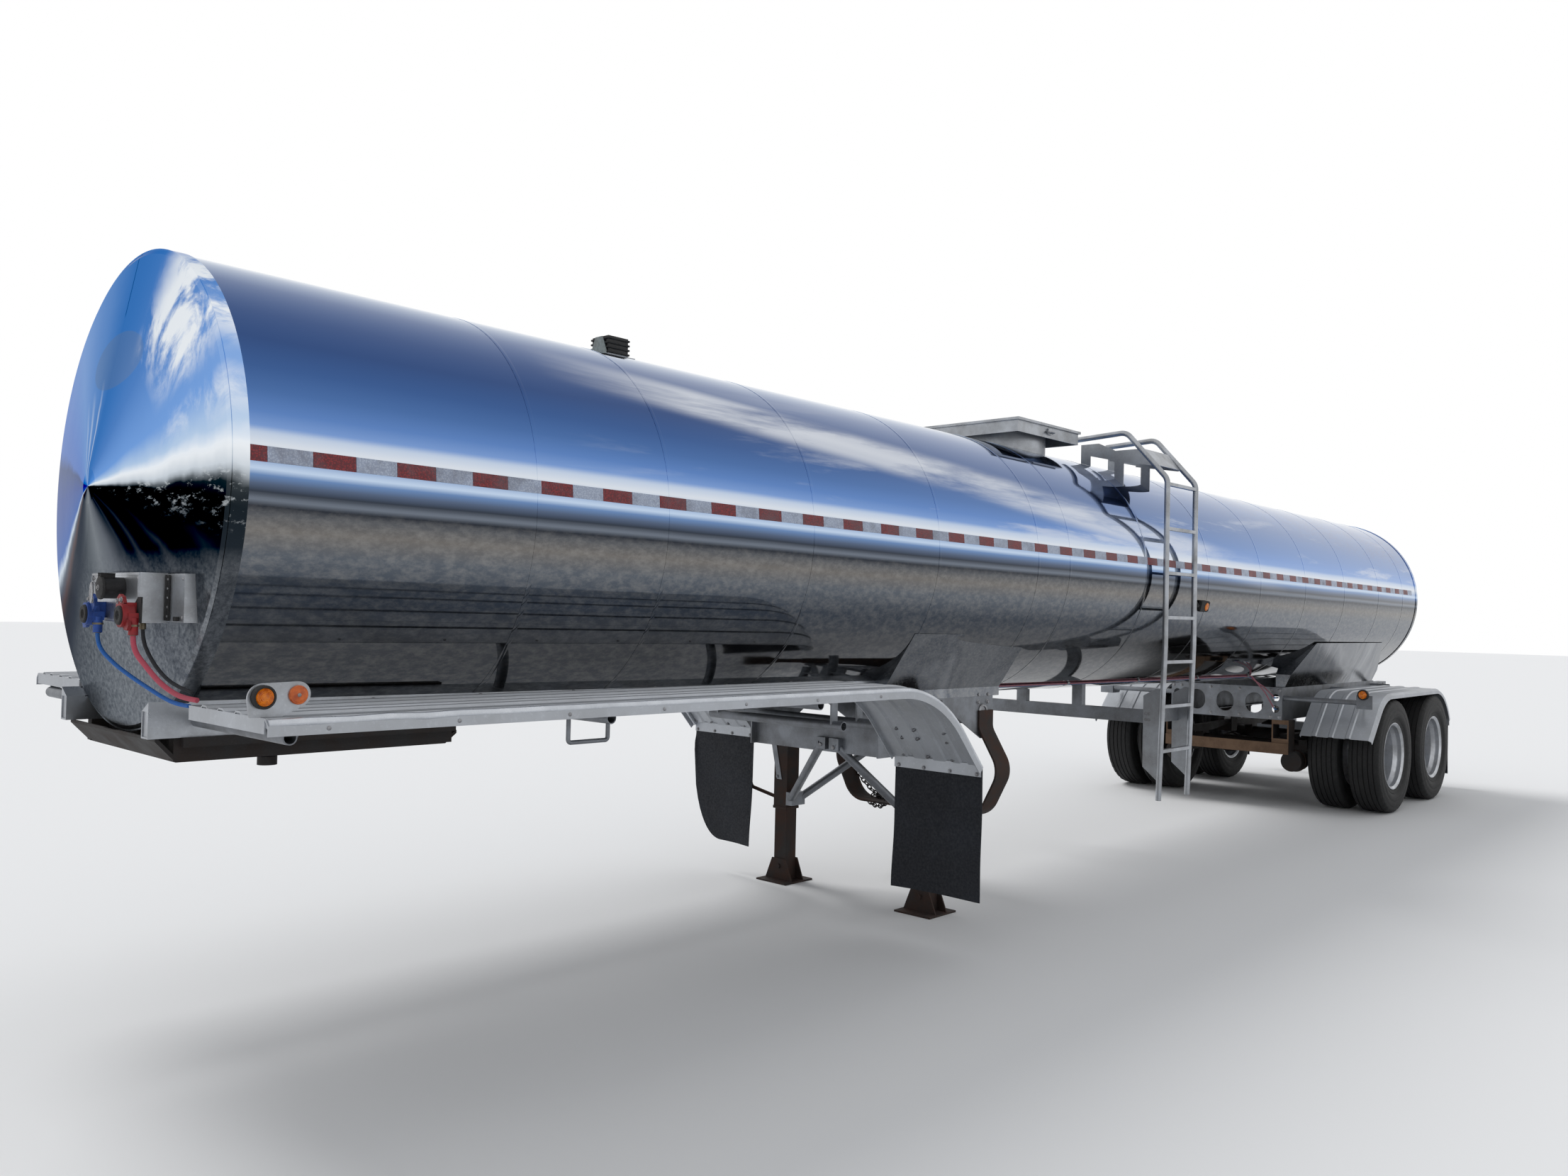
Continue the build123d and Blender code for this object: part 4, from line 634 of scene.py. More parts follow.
    def done(self, name, materials, slot, body="chassis", stands_for=(), crease=35):
        """Make the object, put it on its body and hide the nodes that it replaces; the slot is not used."""
        bmesh.ops.recalc_face_normals(self.bm, faces=self.bm.faces)
        mesh = bpy.data.meshes.new(name)
        self.bm.to_mesh(mesh)
        self.bm.free()
        for polygon in mesh.polygons:
            polygon.use_smooth = True
        mesh.set_sharp_from_angle(angle=math.radians(crease))
        for material in materials:
            mesh.materials.append(material)
        obj = add_object(name, mesh)
        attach(obj, body)
        if stands_for:
            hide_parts(*stands_for)
        return obj


def hull(circles, steps=20):
    """Outline round several circles of (a, b, radius), in the same plane."""
    cloud = set()
    for a, b, radius in circles:
        for i in range(steps * 2):
            turn = math.pi * i / steps
            cloud.add((a + radius * math.cos(turn), b + radius * math.sin(turn)))
    cloud = sorted(cloud)

    def bends_in(a, b, p):
        return (b[0] - a[0]) * (p[1] - b[1]) - (b[1] - a[1]) * (p[0] - b[0]) <= 0

    def half(points):
        chain = []
        for p in points:
            while len(chain) > 1 and bends_in(chain[-2], chain[-1], p):
                chain.pop()
            chain.append(p)
        return chain[:-1]

    return half(cloud) + half(cloud[::-1])


# Cords: their routes are those of the model, as station, Y and height in millimetres
SERVICE_ROUTE = (
    (-176, 226, 1542.7), (-176, 226, 1500), (-150, 300, 1446), (-120, 372, 1406),
    (-96, 452, 1374), (-78, 540, 1346), (-64, 620, 1330), (-56, 690, 1330),
)
EMERGENCY_ROUTE = (
    (-176, 550, 1542.7), (-176, 550, 1500), (-150, 596, 1446), (-128, 634, 1404),
    (-104, 674, 1374), (-80, 712, 1356), (-60, 760, 1352),
)
CABLE_ROUTE = (
    (-130, 492, 1579.7), (-130, 492, 1530), (-116, 520, 1474),
    (-96, 556, 1426), (-70, 604, 1388), (-38, 658, 1368),
)


def hose(name, route, diameter, material, node):
    """Smooth cord along its route."""
    curve = bpy.data.curves.new(name, "CURVE")
    curve.dimensions = "3D"
    curve.bevel_depth = diameter / 2
    curve.bevel_resolution = 4
    curve.resolution_u = 14
    curve.use_fill_caps = True
    spline = curve.splines.new("NURBS")
    spline.points.add(len(route) - 1)
    for point, place in zip(spline.points, route):
        point.co = (*at(*place), 1)
    spline.order_u = 3
    spline.use_endpoint_u = True
    curve.materials.append(material)
    obj = add_object(name, curve)
    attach(obj, "chassis")
    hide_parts(node)


hose("service_line", SERVICE_ROUTE, 0.013, HOSE_BLUE, "service_hose")
hose("emergency_line", EMERGENCY_ROUTE, 0.016, HOSE_RED, "emergency_hose")
hose("lamp_line", CABLE_ROUTE, 0.012, CABLE, "lamp_cable")

# Tank trim: the tape lies between the end bands, a short piece first and then pieces of one length
BAND = 44.0
TAPE_ANGLE, TAPE_HALF = 5.3, 1.72
TAPE_FIRST, TAPE_STEP, TAPE_GAP = 97.0, 145.5, 0.6
TAPE_LIFT, TAPE_THICK = 0.0012, 0.0011
JOINT_STATIONS = (1100, 1750, 2650, 3650, 4650, 5020, 6040, 7050, 8050, 9050, 10050, 11050, 11850)
JOINT_PROFILE = (
    (0, TANK_R - 0.002), (0, TANK_R + 0.0007), (0.003, TANK_R + 0.0011),
    (0.016, TANK_R + 0.0011), (0.019, TANK_R + 0.0007), (0.019, TANK_R - 0.002),
)
PLATE_YS = (0.585, 0.615, 0.645, 0.675, 0.705)
PLATE_RISES = (-0.325, -0.35, -0.375, -0.40, -0.418)


def conspicuity_tape():
    """Red and white tape along both sides."""
    strips = Form()
    edges = [BAND, TAPE_FIRST]
    while edges[-1] + TAPE_STEP < TANK_L * 1000 - BAND:
        edges.append(edges[-1] + TAPE_STEP)
    for _, side in SIDES:
        for index, (a, b) in enumerate(zip(edges, edges[1:])):
            axis_height = axis_z(xs((a + b) / 2))
            rows = []
            for share in (-1, -0.33, 0.33, 1):
                angle = TAPE_ANGLE + TAPE_HALF * share
                rows.append([on_jacket(s, angle, side, TAPE_LIFT) for s in (a + TAPE_GAP, b - TAPE_GAP)])

            def inward(p):
                return p - Vector((0, p.y, p.z - axis_height)).normalized() * TAPE_THICK

            strips.skin(rows, inward, index % 2)
    strips.done("conspicuity_tape", [TAPE_RED, TAPE_WHITE], "satin_steel")


def jacket_joints():
    """Low straps over the joints of the jacket."""
    joints = Form()
    for station in JOINT_STATIONS:
        origin = Vector((xs(station), 0, axis_z(xs(station))))
        joints.lathe(origin, AXIS_LINE, JOINT_PROFILE, 144, ring=True)
    joints.done("jacket_joints", [JACKET], "polished_steel")


def bare_plate():
    """Plain white plate on the front cone."""
    card = Form()
    rows = [[on_head(y, rise, 0.0035) for y in PLATE_YS] for rise in PLATE_RISES]
    card.skin(rows, lambda p: p - FRONT * 0.003)
    card.done("bare_plate", [WHITE], "satin_steel")


conspicuity_tape()
jacket_joints()
bare_plate()

# Front box: stations of its lid and of the plate that carries it, and places of the couplings
PLATE_FACE = -68.3
LID_FACE = -150.3
LID_LOW, LID_HIGH = 1588, 1730
LID_LEFT, LID_RIGHT = 508, 82
RIM_WIDTH = 7
SERVICE_Y, EMERGENCY_Y, SOCKET_Y = 196, 520, 365
COUPLING_Z, SOCKET_Z = 1603, 1688
COUPLING_FACE, SOCKET_FACE, WING_FACE, TAG_FACE = -206, -209.6, -188, -213
STEM_STATION, STEM_FOOT, STEM_NUT = -176, 1541.5, 1569
CABLE_STATION, CABLE_GLAND = -130, 1560
COUPLINGS = ((SERVICE_Y, 1), (EMERGENCY_Y, -1))
HOSE_YS = (SERVICE_ROUTE[0][1], EMERGENCY_ROUTE[0][1])
SEAL_PROFILE = (
    (0, 0.030), (0.005, 0.030), (0.008, 0.027), (0.008, 0.016), (0.003, 0.013), (0.001, 0.009), (0.001, 0.0),
)
CAP_PROFILE = ((0, 0.037), (0.004, 0.038), (0.009, 0.036), (0.011, 0.028), (0.011, 0.0))
HOSE_STEM = ((0, 0.011), (0.018, 0.011), (0.020, 0.0135), (0.034, 0.0135))
# outlines about a coupling's middle, as offsets in Y and height
UPPER_WING = ((-8, 38), (6, 58), (34, 66), (58, 52), (62, 26), (40, 8), (34, 20), (20, 34))
LOWER_WING = ((-36, -8), (-52, -30), (-40, -46), (-14, -44), (-6, -37), (-26, -24))
WING_BOLTS = ((12, 48), (46, 44))
SEAL_FLAP = ((504, 1590), (573, 1580), (575, 1661), (548, 1661), (504, 1628))


def box_trim():
    """Hinge, screws and lid rim of the box."""
    hinge = Form()
    hinge.box(at(PLATE_FACE, 519, LID_LOW), at(-74, 540, 1732), 0.001)
    hinge.lathe(at(-73, 522, LID_LOW), UP, [(0, 0.005), (0.144, 0.005)], 12)
    hinge.box(at(PLATE_FACE, 596, LID_LOW), at(-80, 620, 1602), 0.002)
    hinge.done("box_hinge", [BLACK], "frame_steel")
    screws = Form()
    for z in range(1602, 1719, 29):
        screws.rivet(at(-74, 532, z), FRONT, 0.0045)
    for z in (1598, 1720):
        for y in (92, 498):
            screws.rivet(at(-150, y, z), FRONT, 0.0055)
    for z in (1600, 1720):
        screws.rivet(at(PLATE_FACE, 640, z), FRONT, 0.0055)
    screws.done("box_screws", [BOLT], "satin_steel")
    rim = Form()
    long_side = (LID_RIGHT - RIM_WIDTH + 1, LID_LEFT + RIM_WIDTH - 1)
    bars = (
        (*long_side, LID_HIGH, LID_HIGH + RIM_WIDTH),
        (*long_side, LID_LOW - RIM_WIDTH, LID_LOW),
        (LID_RIGHT - RIM_WIDTH, LID_RIGHT, LID_LOW, LID_HIGH),
        (LID_LEFT, LID_LEFT + RIM_WIDTH, LID_LOW, LID_HIGH),
    )
    for y0, y1, z0, z1 in bars:
        rim.box(at(LID_FACE - 2.2, y0, z0), at(LID_FACE, y1, z1), 0.0008)
    rim.done("box_lid_rim", [SATIN], "satin_steel")


def coupling_trim():
    """Seals, wings, hose fittings, bolts and a tag on the couplings."""
    seals = Form()
    for y, _ in COUPLINGS:
        seals.lathe(at(COUPLING_FACE, y, COUPLING_Z), FRONT, SEAL_PROFILE, 28)
    seals.lathe(at(SOCKET_FACE, SOCKET_Y, SOCKET_Z), FRONT, CAP_PROFILE, 28)
    seals.box(at(-216, SOCKET_Y - 13, SOCKET_Z + 28), at(-180, SOCKET_Y + 13, SOCKET_Z + 44), 0.003)
    seals.slab([at(-160, y, z) for y, z in SEAL_FLAP], FRONT * 0.005)
    seals.done("coupling_seals", [BLACK], "hose_rubber")
    wings = Form()
    for index, (y, flip) in enumerate(COUPLINGS):
        for outline in (UPPER_WING, LOWER_WING):
            points = [at(WING_FACE, y + dy * flip, COUPLING_Z + dz) for dy, dz in outline]
            wings.slab(points, FRONT * 0.010, index)
    wings.done("coupling_wings", [PAINT_BLUE, PAINT_RED], "coupling_metal")
    fittings = Form()
    for y in HOSE_YS:
        fittings.lathe(at(STEM_STATION, y, STEM_FOOT), UP, HOSE_STEM, 6)
        fittings.lathe(at(STEM_STATION, y, STEM_NUT), UP, [(0, 0.0165), (0.006, 0.0165)], 6)
    gland = at(CABLE_STATION, CABLE_ROUTE[0][1], CABLE_GLAND)
    fittings.lathe(gland, UP, [(0, 0.010), (0.019, 0.010)], 16)
    fittings.done("hose_fittings", [BRASS], "coupling_metal")
    small = Form()
    for y, flip in COUPLINGS:
        for dy, dz in WING_BOLTS:
            small.bolt(at(WING_FACE - 10, y + dy * flip, COUPLING_Z + dz), FRONT, 0.0062, 0.005)
    small.bolt(at(SOCKET_FACE - 10.9, SOCKET_Y, SOCKET_Z), FRONT, 0.006, 0.004)
    tag, ring = [], []
    for step in range(24):
        a = step / 12 * math.pi
        tag.append(at(TAG_FACE, 276 + 17 * math.cos(a), 1672 + 34 * math.sin(a)))
    for step in range(12):
        a = step / 6 * math.pi
        ring.append(at(TAG_FACE - 4 * math.sin(a), 297 + 12 * math.cos(a), 1702 + 6 * math.sin(a)))
    small.slab(tag, FRONT * 0.002)
    small.tube(ring, 0.0014, 6, loop=True)
    small.tube([at(TAG_FACE, 306, 1703), at(TAG_FACE, 330, 1712), at(TAG_FACE + 1, 352, 1722)], 0.0016, 6)
    small.done("coupling_bolts_and_tag", [BOLT], "satin_steel")


box_trim()
coupling_trim()

# Lamps: deck lamp with its reflector, side markers on the jacket, and the rear ones
DECK_LAMP = (-61, 1391)
DECK_REFLECTOR = (39, 1394)
DECK_PLATE = ((-61, 1387, 42), (39, 1395, 37), (-91, 1340.6, 6), (-7, 1340.6, 6))
ARM_LAMP_STATION, ARM_LAMP_Y, ARM_LAMP_Z = 9400, 1200, 1072
TAIL_STATION, TAIL_YS, TAIL_Z = 12451, (830, 960), 520
MARKER_ANGLE, MARKER_STATION, MARKER_LENS_STATION = -14, 6990, 7014
DECK_BEZEL = ((0, 0.026), (0, 0.0335), (0.016, 0.0335), (0.021, 0.031), (0.021, 0.0262))
ARM_BEZEL = (
    (0, 0.030), (0, 0.046), (0.018, 0.046), (0.026, 0.043), (0.026, 0.0365), (0.020, 0.0355), (0.004, 0.034),
)
TAIL_BEZEL = ((0, 0.0445), (0, 0.052), (0.012, 0.052), (0.017, 0.049), (0.017, 0.0445))
DECK_LENS = (
    (0, 0.0264), (0.016, 0.0264), (0.019, 0.024), (0.0178, 0.022), (0.021, 0.0195), (0.0198, 0.0175),
    (0.0228, 0.015), (0.0216, 0.013), (0.0244, 0.0105), (0.0234, 0.0085), (0.0255, 0.005), (0.0255, 0),
)
ARM_LENS = (
    (0, 0.0352), (0.020, 0.0352), (0.025, 0.032), (0.0238, 0.029), (0.0275, 0.026),
    (0.0262, 0.023), (0.030, 0.019), (0.0288, 0.016), (0.032, 0.010), (0.032, 0),
)
MARKER_LENS = (
    (0, 0.029), (0.003, 0.029), (0.006, 0.026), (0.0052, 0.022),
    (0.0078, 0.018), (0.007, 0.014), (0.009, 0.009), (0.009, 0),
)
REFLECTOR = ((0, 0.0272), (0.006, 0.0272), (0.0085, 0.025), (0.0078, 0.0225), (0.0095, 0.020), (0.0095, 0))


def lamps():
    """Plates, bezels and lenses that stand for the plain lamps."""
    plates, bezels, amber = Form(), Form(), Form()
    plates.slab([at(a, 1209, b) for a, b in hull(DECK_PLATE)], LEFT * 0.006)
    bezels.lathe(at(DECK_LAMP[0], 1213.5, DECK_LAMP[1]), LEFT, DECK_BEZEL, 36, ring=True)
    amber.lathe(at(DECK_LAMP[0], 1214.5, DECK_LAMP[1]), LEFT, DECK_LENS, 36)
    for _, side in SIDES:
        y = side * ARM_LAMP_Y
        low = at(ARM_LAMP_STATION + 8.7, y - 30, ARM_LAMP_Z - 30)
        plates.box(low, at(ARM_LAMP_STATION, y + 30, ARM_LAMP_Z + 30), 0.003)
        bezels.lathe(at(ARM_LAMP_STATION + 8.4, y, ARM_LAMP_Z), FRONT, ARM_BEZEL, 36, ring=True)
        amber.lathe(at(ARM_LAMP_STATION + 7.5, y, ARM_LAMP_Z), FRONT, ARM_LENS, 36)
        for tail_y in TAIL_YS:
            bezels.lathe(at(TAIL_STATION, side * tail_y, TAIL_Z), -FRONT, TAIL_BEZEL, 36, ring=True)
        # side marker, seated on the jacket
        slant = math.radians(MARKER_ANGLE)
        turn = Matrix.Rotation(slant * side, 3, "X")
        middle = on_jacket(MARKER_STATION, MARKER_ANGLE, side, 0.0145)
        bezels.block(middle, (0.075, 0.0135, 0.040), 0.006, turn, segments=2)
        out = Vector((0, side * math.cos(slant), math.sin(slant)))
        amber.lathe(on_jacket(MARKER_LENS_STATION, MARKER_ANGLE, side, 0.027), out, MARKER_LENS, 30)
    plates.done("lamp_plates", [SATIN], "satin_steel", stands_for=("marker_lamps",))
    bezels.done("lamp_bezels", [BLACK], "hose_rubber", stands_for=("marker_lamps",))
    amber.done("amber_lenses", [AMBER], "amber_lens", stands_for=("marker_lamps",))
    reflector, rivet = Form(), Form()
    reflector.lathe(at(DECK_REFLECTOR[0], 1214.5, DECK_REFLECTOR[1]), LEFT, REFLECTOR, 36)
    reflector.done("deck_reflector", [ORANGE], "amber_lens", stands_for=("marker_lamps",))
    rivet.rivet(at(DECK_REFLECTOR[0], 1224, DECK_REFLECTOR[1]), LEFT, 0.006)
    rivet.done("reflector_rivet", [BOLT], "satin_steel")


lamps()

# Flaps, hung from the ends of their fenders
FLAP_THICK = 0.005
FLAP_COLUMNS, FLAP_ROWS = 26, 30


def flap(end, name, station, side, ys, zs, curl, wave=0.006, worn=None):
    """Rubber flap: a thin sheet with a slight curl and waves."""
    (y0, y1), (top, low) = ys, zs
    place = "_" + name
    rows = []
    for i in range(FLAP_ROWS + 1):
        fall = i / FLAP_ROWS
        row = []
        for j in range(FLAP_COLUMNS + 1):
            across = j / FLAP_COLUMNS
            y = y0 + (y1 - y0) * across
            edge = max(low, worn(y)) if worn else low
            bow = curl * fall ** 2.2
            bow += wave * math.sin(across * 5.1 + fall * 2.3) * fall
            bow += 0.004 * math.sin(fall * 9.0 + across * 2.0) * fall
            bow += 0.012 * max(0.0, 1 - across / 0.22) * fall ** 3 * (1 if curl > 0 else 0.5)
            row.append(at(station, side * y, top + (edge - top) * fall) + FRONT * bow)
        rows.append(row)
    form = Form()
    form.skin(rows, lambda p: p - FRONT * FLAP_THICK)
    obj = form.done(end + "_flap" + place, [FLAP], "flap_rubber", stands_for=(end + "_flaps",), crease=60)


def worn_corner(y):
    """Lower edge of the right front flap, worn round towards its outer edge."""
    part = max(0.0, (y - 1000) / 250.0)
    return 195 + 560 * (1 - math.sqrt(max(0.0, 1 - part ** 2.2)))


flap("front", "left", 3453.0, 1, (720, 1252), (916, 262), 0.004)
flap("front", "right", 3866.5, -1, (720, 1250), (916, 195), 0.006, wave=0.009, worn=worn_corner)
for flap_side, flap_sign in SIDES:
    flap("rear", flap_side, 11820.0, flap_sign, (716, 1271), (743, 205), -0.006)

# Front fender fastenings: the tail of each fender slopes down to its flap
TAIL_SLOPE = math.radians(48)
TAIL_OUT = Vector((math.sin(TAIL_SLOPE), 0, math.cos(TAIL_SLOPE)))
TAIL_UP = Vector((math.cos(TAIL_SLOPE), 0, math.sin(TAIL_SLOPE)))
FENDER_TAILS = ((1, 3455.0), (-1, 3868.0))
TAIL_FOOT_Z, FLAP_BOLT_Z = 929, 888
# rows of bolts: how far each is up the slope, and its Ys
TAIL_BOLTS = (
    (0.215, (832, 940, 1122, 1222)), (0.151, (836, 932, 1112, 1228)), (0.022, (784, 936, 1088, 1228)),
)
FIRST_RIVETS = ((1, 110), (-1, 222))
DECK_RIVETS, DECK_RIVET_STEP = 7, 420
DECK_TOP, DECK_INNER_Y = 1334.2, 722
DECK_SIDE_Z, DECK_OUTER_Y = 1300, 1262.3


def front_fender_bolts():
    """Bolts of the tails and flaps, and rivets along the decks."""
    bolts = Form()
    for side, end in FENDER_TAILS:
        for up_slope, ys in TAIL_BOLTS:
            for y in ys:
                foot = at(end, side * y, TAIL_FOOT_Z) + TAIL_UP * up_slope
                bolts.bolt(foot + TAIL_OUT * 0.0005, TAIL_OUT, 0.0085, 0.007)
        for y in range(745, 1226, 160):
            bolts.bolt(at(end - 8.2, side * y, FLAP_BOLT_Z), FRONT, 0.0075, 0.006)
    for side, first in FIRST_RIVETS:
        for index in range(DECK_RIVETS):
            station = first + index * DECK_RIVET_STEP
            bolts.rivet(at(station, side * DECK_INNER_Y, DECK_TOP), UP, 0.007)
            bolts.rivet(at(station, side * DECK_OUTER_Y, DECK_SIDE_Z), LEFT * side, 0.007)
    bolts.done("front_fender_bolts", [BOLT], "satin_steel")


front_fender_bolts()

# Tyres and wheel details
TYRE_MIDS = (1.155, 0.812)
TYRE_STEPS = 120
NOTCH_DEPTH = 0.007
SHOULDER_LOW, SHOULDER_HIGH, SHOULDER_FROM = 0.486, 0.506, 0.096
GROOVE_PITCH = 0.042
GROOVE = ((-0.0045, 0.5068), (-0.0032, 0.4985), (0.0032, 0.4985), (0.0045, 0.5068))
# side wall from the bead to the shoulder, as offset and radius
SIDE_WALL = (
    (-0.0905, 0.2845), (-0.100, 0.2992), (-0.111, 0.2992), (-0.1165, 0.3205), (-0.1215, 0.331),
    (-0.1185, 0.334), (-0.1305, 0.350), (-0.1345, 0.372), (-0.1362, 0.397), (-0.1342, 0.402),
    (-0.1340, 0.410), (-0.1354, 0.415), (-0.1325, 0.447), (-0.1305, 0.452), (-0.1300, 0.462),
    (-0.1265, 0.482), (-0.121, 0.492), (-0.109, 0.5015), (-0.098, 0.5052),
)
STUDS, STUD_RING, STUD_FACE = 10, 0.1429, 1.0033
HUB_BOLTS, HUB_BOLT_RING, HUB_FACE = 6, 0.062, 1.13
BEAD_RING = ((0.100, 0.2905), (0.112, 0.2980), (0.1155, 0.2968), (0.1155, 0.2925), (0.104, 0.2880))
LOCK_RING = ((0.062, 0.2735), (0.066, 0.2725), (0.070, 0.2735), (0.070, 0.2768), (0.062, 0.2768))
VALVE_RING, VALVE_TURN, VALVE_Y = 0.262, 0.9, 1.135


def tyre_profile():
    """Offset and radius pairs of one tyre, from bead to bead over the tread."""
    crown = [(GROOVE_PITCH * k + offset, radius) for k in range(-2, 3) for offset, radius in GROOVE]
    return list(SIDE_WALL) + crown + [(-offset, radius) for offset, radius in reversed(SIDE_WALL)]


def tyre_pair(name, node, body, station, side):
    """Both tyres of one twin wheel, with grooves round the tread and notched shoulders."""
    form = Form()
    for mid in TYRE_MIDS:
        hub = Vector((xs(station), side * mid, HUB_Z))
        rows = []
        for offset, radius in tyre_profile():
            shoulder = SHOULDER_LOW < radius < SHOULDER_HIGH and abs(offset) > SHOULDER_FROM
            row = []
            for i in range(TYRE_STEPS):
                notch = NOTCH_DEPTH if shoulder and i % 3 == 0 else 0.0
                place = around(hub, radius - notch, 2 * math.pi * i / TYRE_STEPS, offset)
                row.append(form.bm.verts.new(place))
            rows.append(row)
        for a, b in zip(rows, rows[1:] + rows[:1]):
            for i in range(TYRE_STEPS):
                j = (i + 1) % TYRE_STEPS
                form.face((a[i], a[j], b[j], b[i]))
    form.done(name, [TYRE], "tyre", body=body, stands_for=(node,), crease=28)


def wheel_nuts(name, body, hub, side):
    """Stud nuts with their washers and stud ends, and the bolts of the hub's cap."""
    nuts = Form()
    out = LEFT * side
    for index in range(STUDS):
        a = 2 * math.pi * index / STUDS
        foot = around(hub, STUD_RING, a, side * STUD_FACE)
        nuts.lathe(foot, out, [(0, 0.021), (0.004, 0.021), (0.005, 0.0175)], 20)
        nuts.lathe(foot + out * 0.004, out, [(0, 0.0165), (0.020, 0.0165), (0.023, 0.014)], 6, start=a)
        nuts.lathe(foot + out * 0.02, out, [(0, 0.011), (0.022, 0.011), (0.024, 0.009)], 12)
    for index in range(HUB_BOLTS):
        a = 2 * math.pi * (index + 0.5) / HUB_BOLTS
        nuts.bolt(around(hub, HUB_BOLT_RING, a, side * HUB_FACE), out, 0.007, 0.005)
    nuts.done(name, [BOLT], "bright_aluminium", body=body)


def rim_rings(name, body, hub, side):
    """Rings at the outer rim's bead, and its valve."""
    rings = Form()
    for profile in (BEAD_RING, LOCK_RING):
        rings.lathe(hub + LEFT * side * TYRE_MIDS[0], LEFT * side, profile, 72, ring=True)
    valve = around(hub, VALVE_RING, VALVE_TURN, side * VALVE_Y)
    bends = ((0, 0, 0), (-0.012, side * 0.02, -0.016), (-0.03, side * 0.045, -0.034))
    rings.tube([valve + Vector(bend) for bend in bends], 0.0045, 8)
    rings.done(name, [WHEEL], "bright_aluminium", body=body)


def wheel_details():
    """Tyres, nuts and rings of the four twin wheels, each on its wheel's body."""
    for end, station in WHEELS:
        for name, side in SIDES:
            place = "_%s_%s" % (end, name)
            hub = Vector((xs(station), 0, HUB_Z))
            tyre_pair("tyre_pair" + place, "tyres" + place, "wheels" + place, station, side)
            wheel_nuts("wheel_nuts" + place, "wheels" + place, hub, side)
            rim_rings("rim_rings" + place, "wheels" + place, hub, side)


wheel_details()

# Brake chambers: a clamp band round each, with two lugs at the given angles
CHAMBER_Y, CHAMBER_Z, CHAMBER_LEAD = 548, 424, 396
LUG_RING, LUG_ANGLES = 101, (0.6, 2.7)
CLAMP_PROFILE = (
    (-0.010, 0.0925), (-0.010, 0.0985), (-0.004, 0.1005), (0.004, 0.1005), (0.010, 0.0985), (0.010, 0.0925),
)


def chamber_clamps():
    """Clamp bands of the brake chambers."""
    brakes = Form()
    for _, axle in WHEELS:
        station = axle - CHAMBER_LEAD
        for y in (CHAMBER_Y, -CHAMBER_Y):
            brakes.lathe(at(station, y, CHAMBER_Z), FRONT, CLAMP_PROFILE, 40, ring=True)
            for a in LUG_ANGLES:
                place = at(station, y + LUG_RING * math.cos(a), CHAMBER_Z + LUG_RING * math.sin(a))
                brakes.block(place, (0.012, 0.008, 0.008), 0.002)
    brakes.done("chamber_clamps", [RUST], "rusty_steel")


chamber_clamps()

# Landing gear
LEG_STATION, LEG_Y, COLLAR_HALF = 3985, 540, 58.5
LEG_FACE = LEG_STATION - 54.5
COLLAR_LOW, COLLAR_TOP = 445, 463
LEG_CAP_BOLT_Z, LEG_BOLT_HEIGHTS, LEG_BOLT_OUT = 1120, (1060, 1150), 30
STRAP_STATION = 3931
STRAP = ((-647, 968), (-607, 968), (-526, 628), (-566, 628))


def landing_details():
    """Collars and bolts of the legs, and a slanting strap on the right one."""
    gear = Form()
    for y in (LEG_Y, -LEG_Y):
        low = at(LEG_STATION + COLLAR_HALF, y - COLLAR_HALF, COLLAR_LOW)
        gear.box(low, at(LEG_STATION - COLLAR_HALF, y + COLLAR_HALF, COLLAR_TOP), 0.003)
        gear.bolt(at(LEG_STATION - 62, y, LEG_CAP_BOLT_Z), FRONT, 0.010, 0.008)
        for z in LEG_BOLT_HEIGHTS:
            for dy in (-LEG_BOLT_OUT, LEG_BOLT_OUT):
                gear.bolt(at(LEG_FACE, y + dy, z), FRONT, 0.009, 0.008)
    gear.done("leg_collars_and_bolts", [RUST], "rusty_steel")
    strap = Form()
    strap.slab([at(STRAP_STATION, y, z) for y, z in STRAP], FRONT * 0.005)
    strap.bolt(at(STRAP_STATION - 5, -562, 644), FRONT, 0.008, 0.006)
    strap.done("leg_strap", [GALV], "satin_steel")


landing_details()

# Chain heaped in the spare wheel hoop, its hook on the hoop's wall
LINK_PITCH, LINK_LENGTH, LINK_WIDTH, LINK_WIRE = 0.033, 0.046, 0.027, 0.0042
CHAIN_HOOK = at(4700, -585, 652)
HOOK_BENDS = ((0, -0.012, 0.004), (0, 0, 0), (0, 0.016, -0.008), (0, 0.014, -0.026))
CHAIN_HEAP = (
    (4696, -500, 566), (4690, -420, 508), (4684, -350, 474), (4668, -286, 470), (4690, -240, 470),
    (4712, -300, 470), (4722, -380, 471), (4700, -410, 473), (4672, -340, 480), (4690, -270, 482),
)
CHAIN_LOOP = (
    (4627, -255, 470), (4624, -250, 448), (4640, -290, 420), (4660, -350, 412),
    (4680, -410, 416), (4700, -462, 436), (4716, -486, 442),
)


def chain_link(form, centre, along, across):
    """One oval link."""
    points = []
    for i in range(16):
        a = 2 * math.pi * i / 16
        end = along * (LINK_LENGTH / 2) * math.cos(a)
        points.append(centre + end + across * (LINK_WIDTH / 2) * math.sin(a))
    form.tube(points, LINK_WIRE, 6, loop=True)


def lay_chain(form, points):
    """Links laid along points, every other one turned on its side."""
    reach, index = 0.0, 0
    for a, b in zip(points, points[1:]):
        along = (b - a).normalized()
        flat = along.cross(FRONT).normalized()
        while reach < (b - a).length:
            across = flat if index % 2 else flat.cross(along)
            chain_link(form, a + along * reach, along, across)
            reach += LINK_PITCH
            index += 1
        reach -= (b - a).length


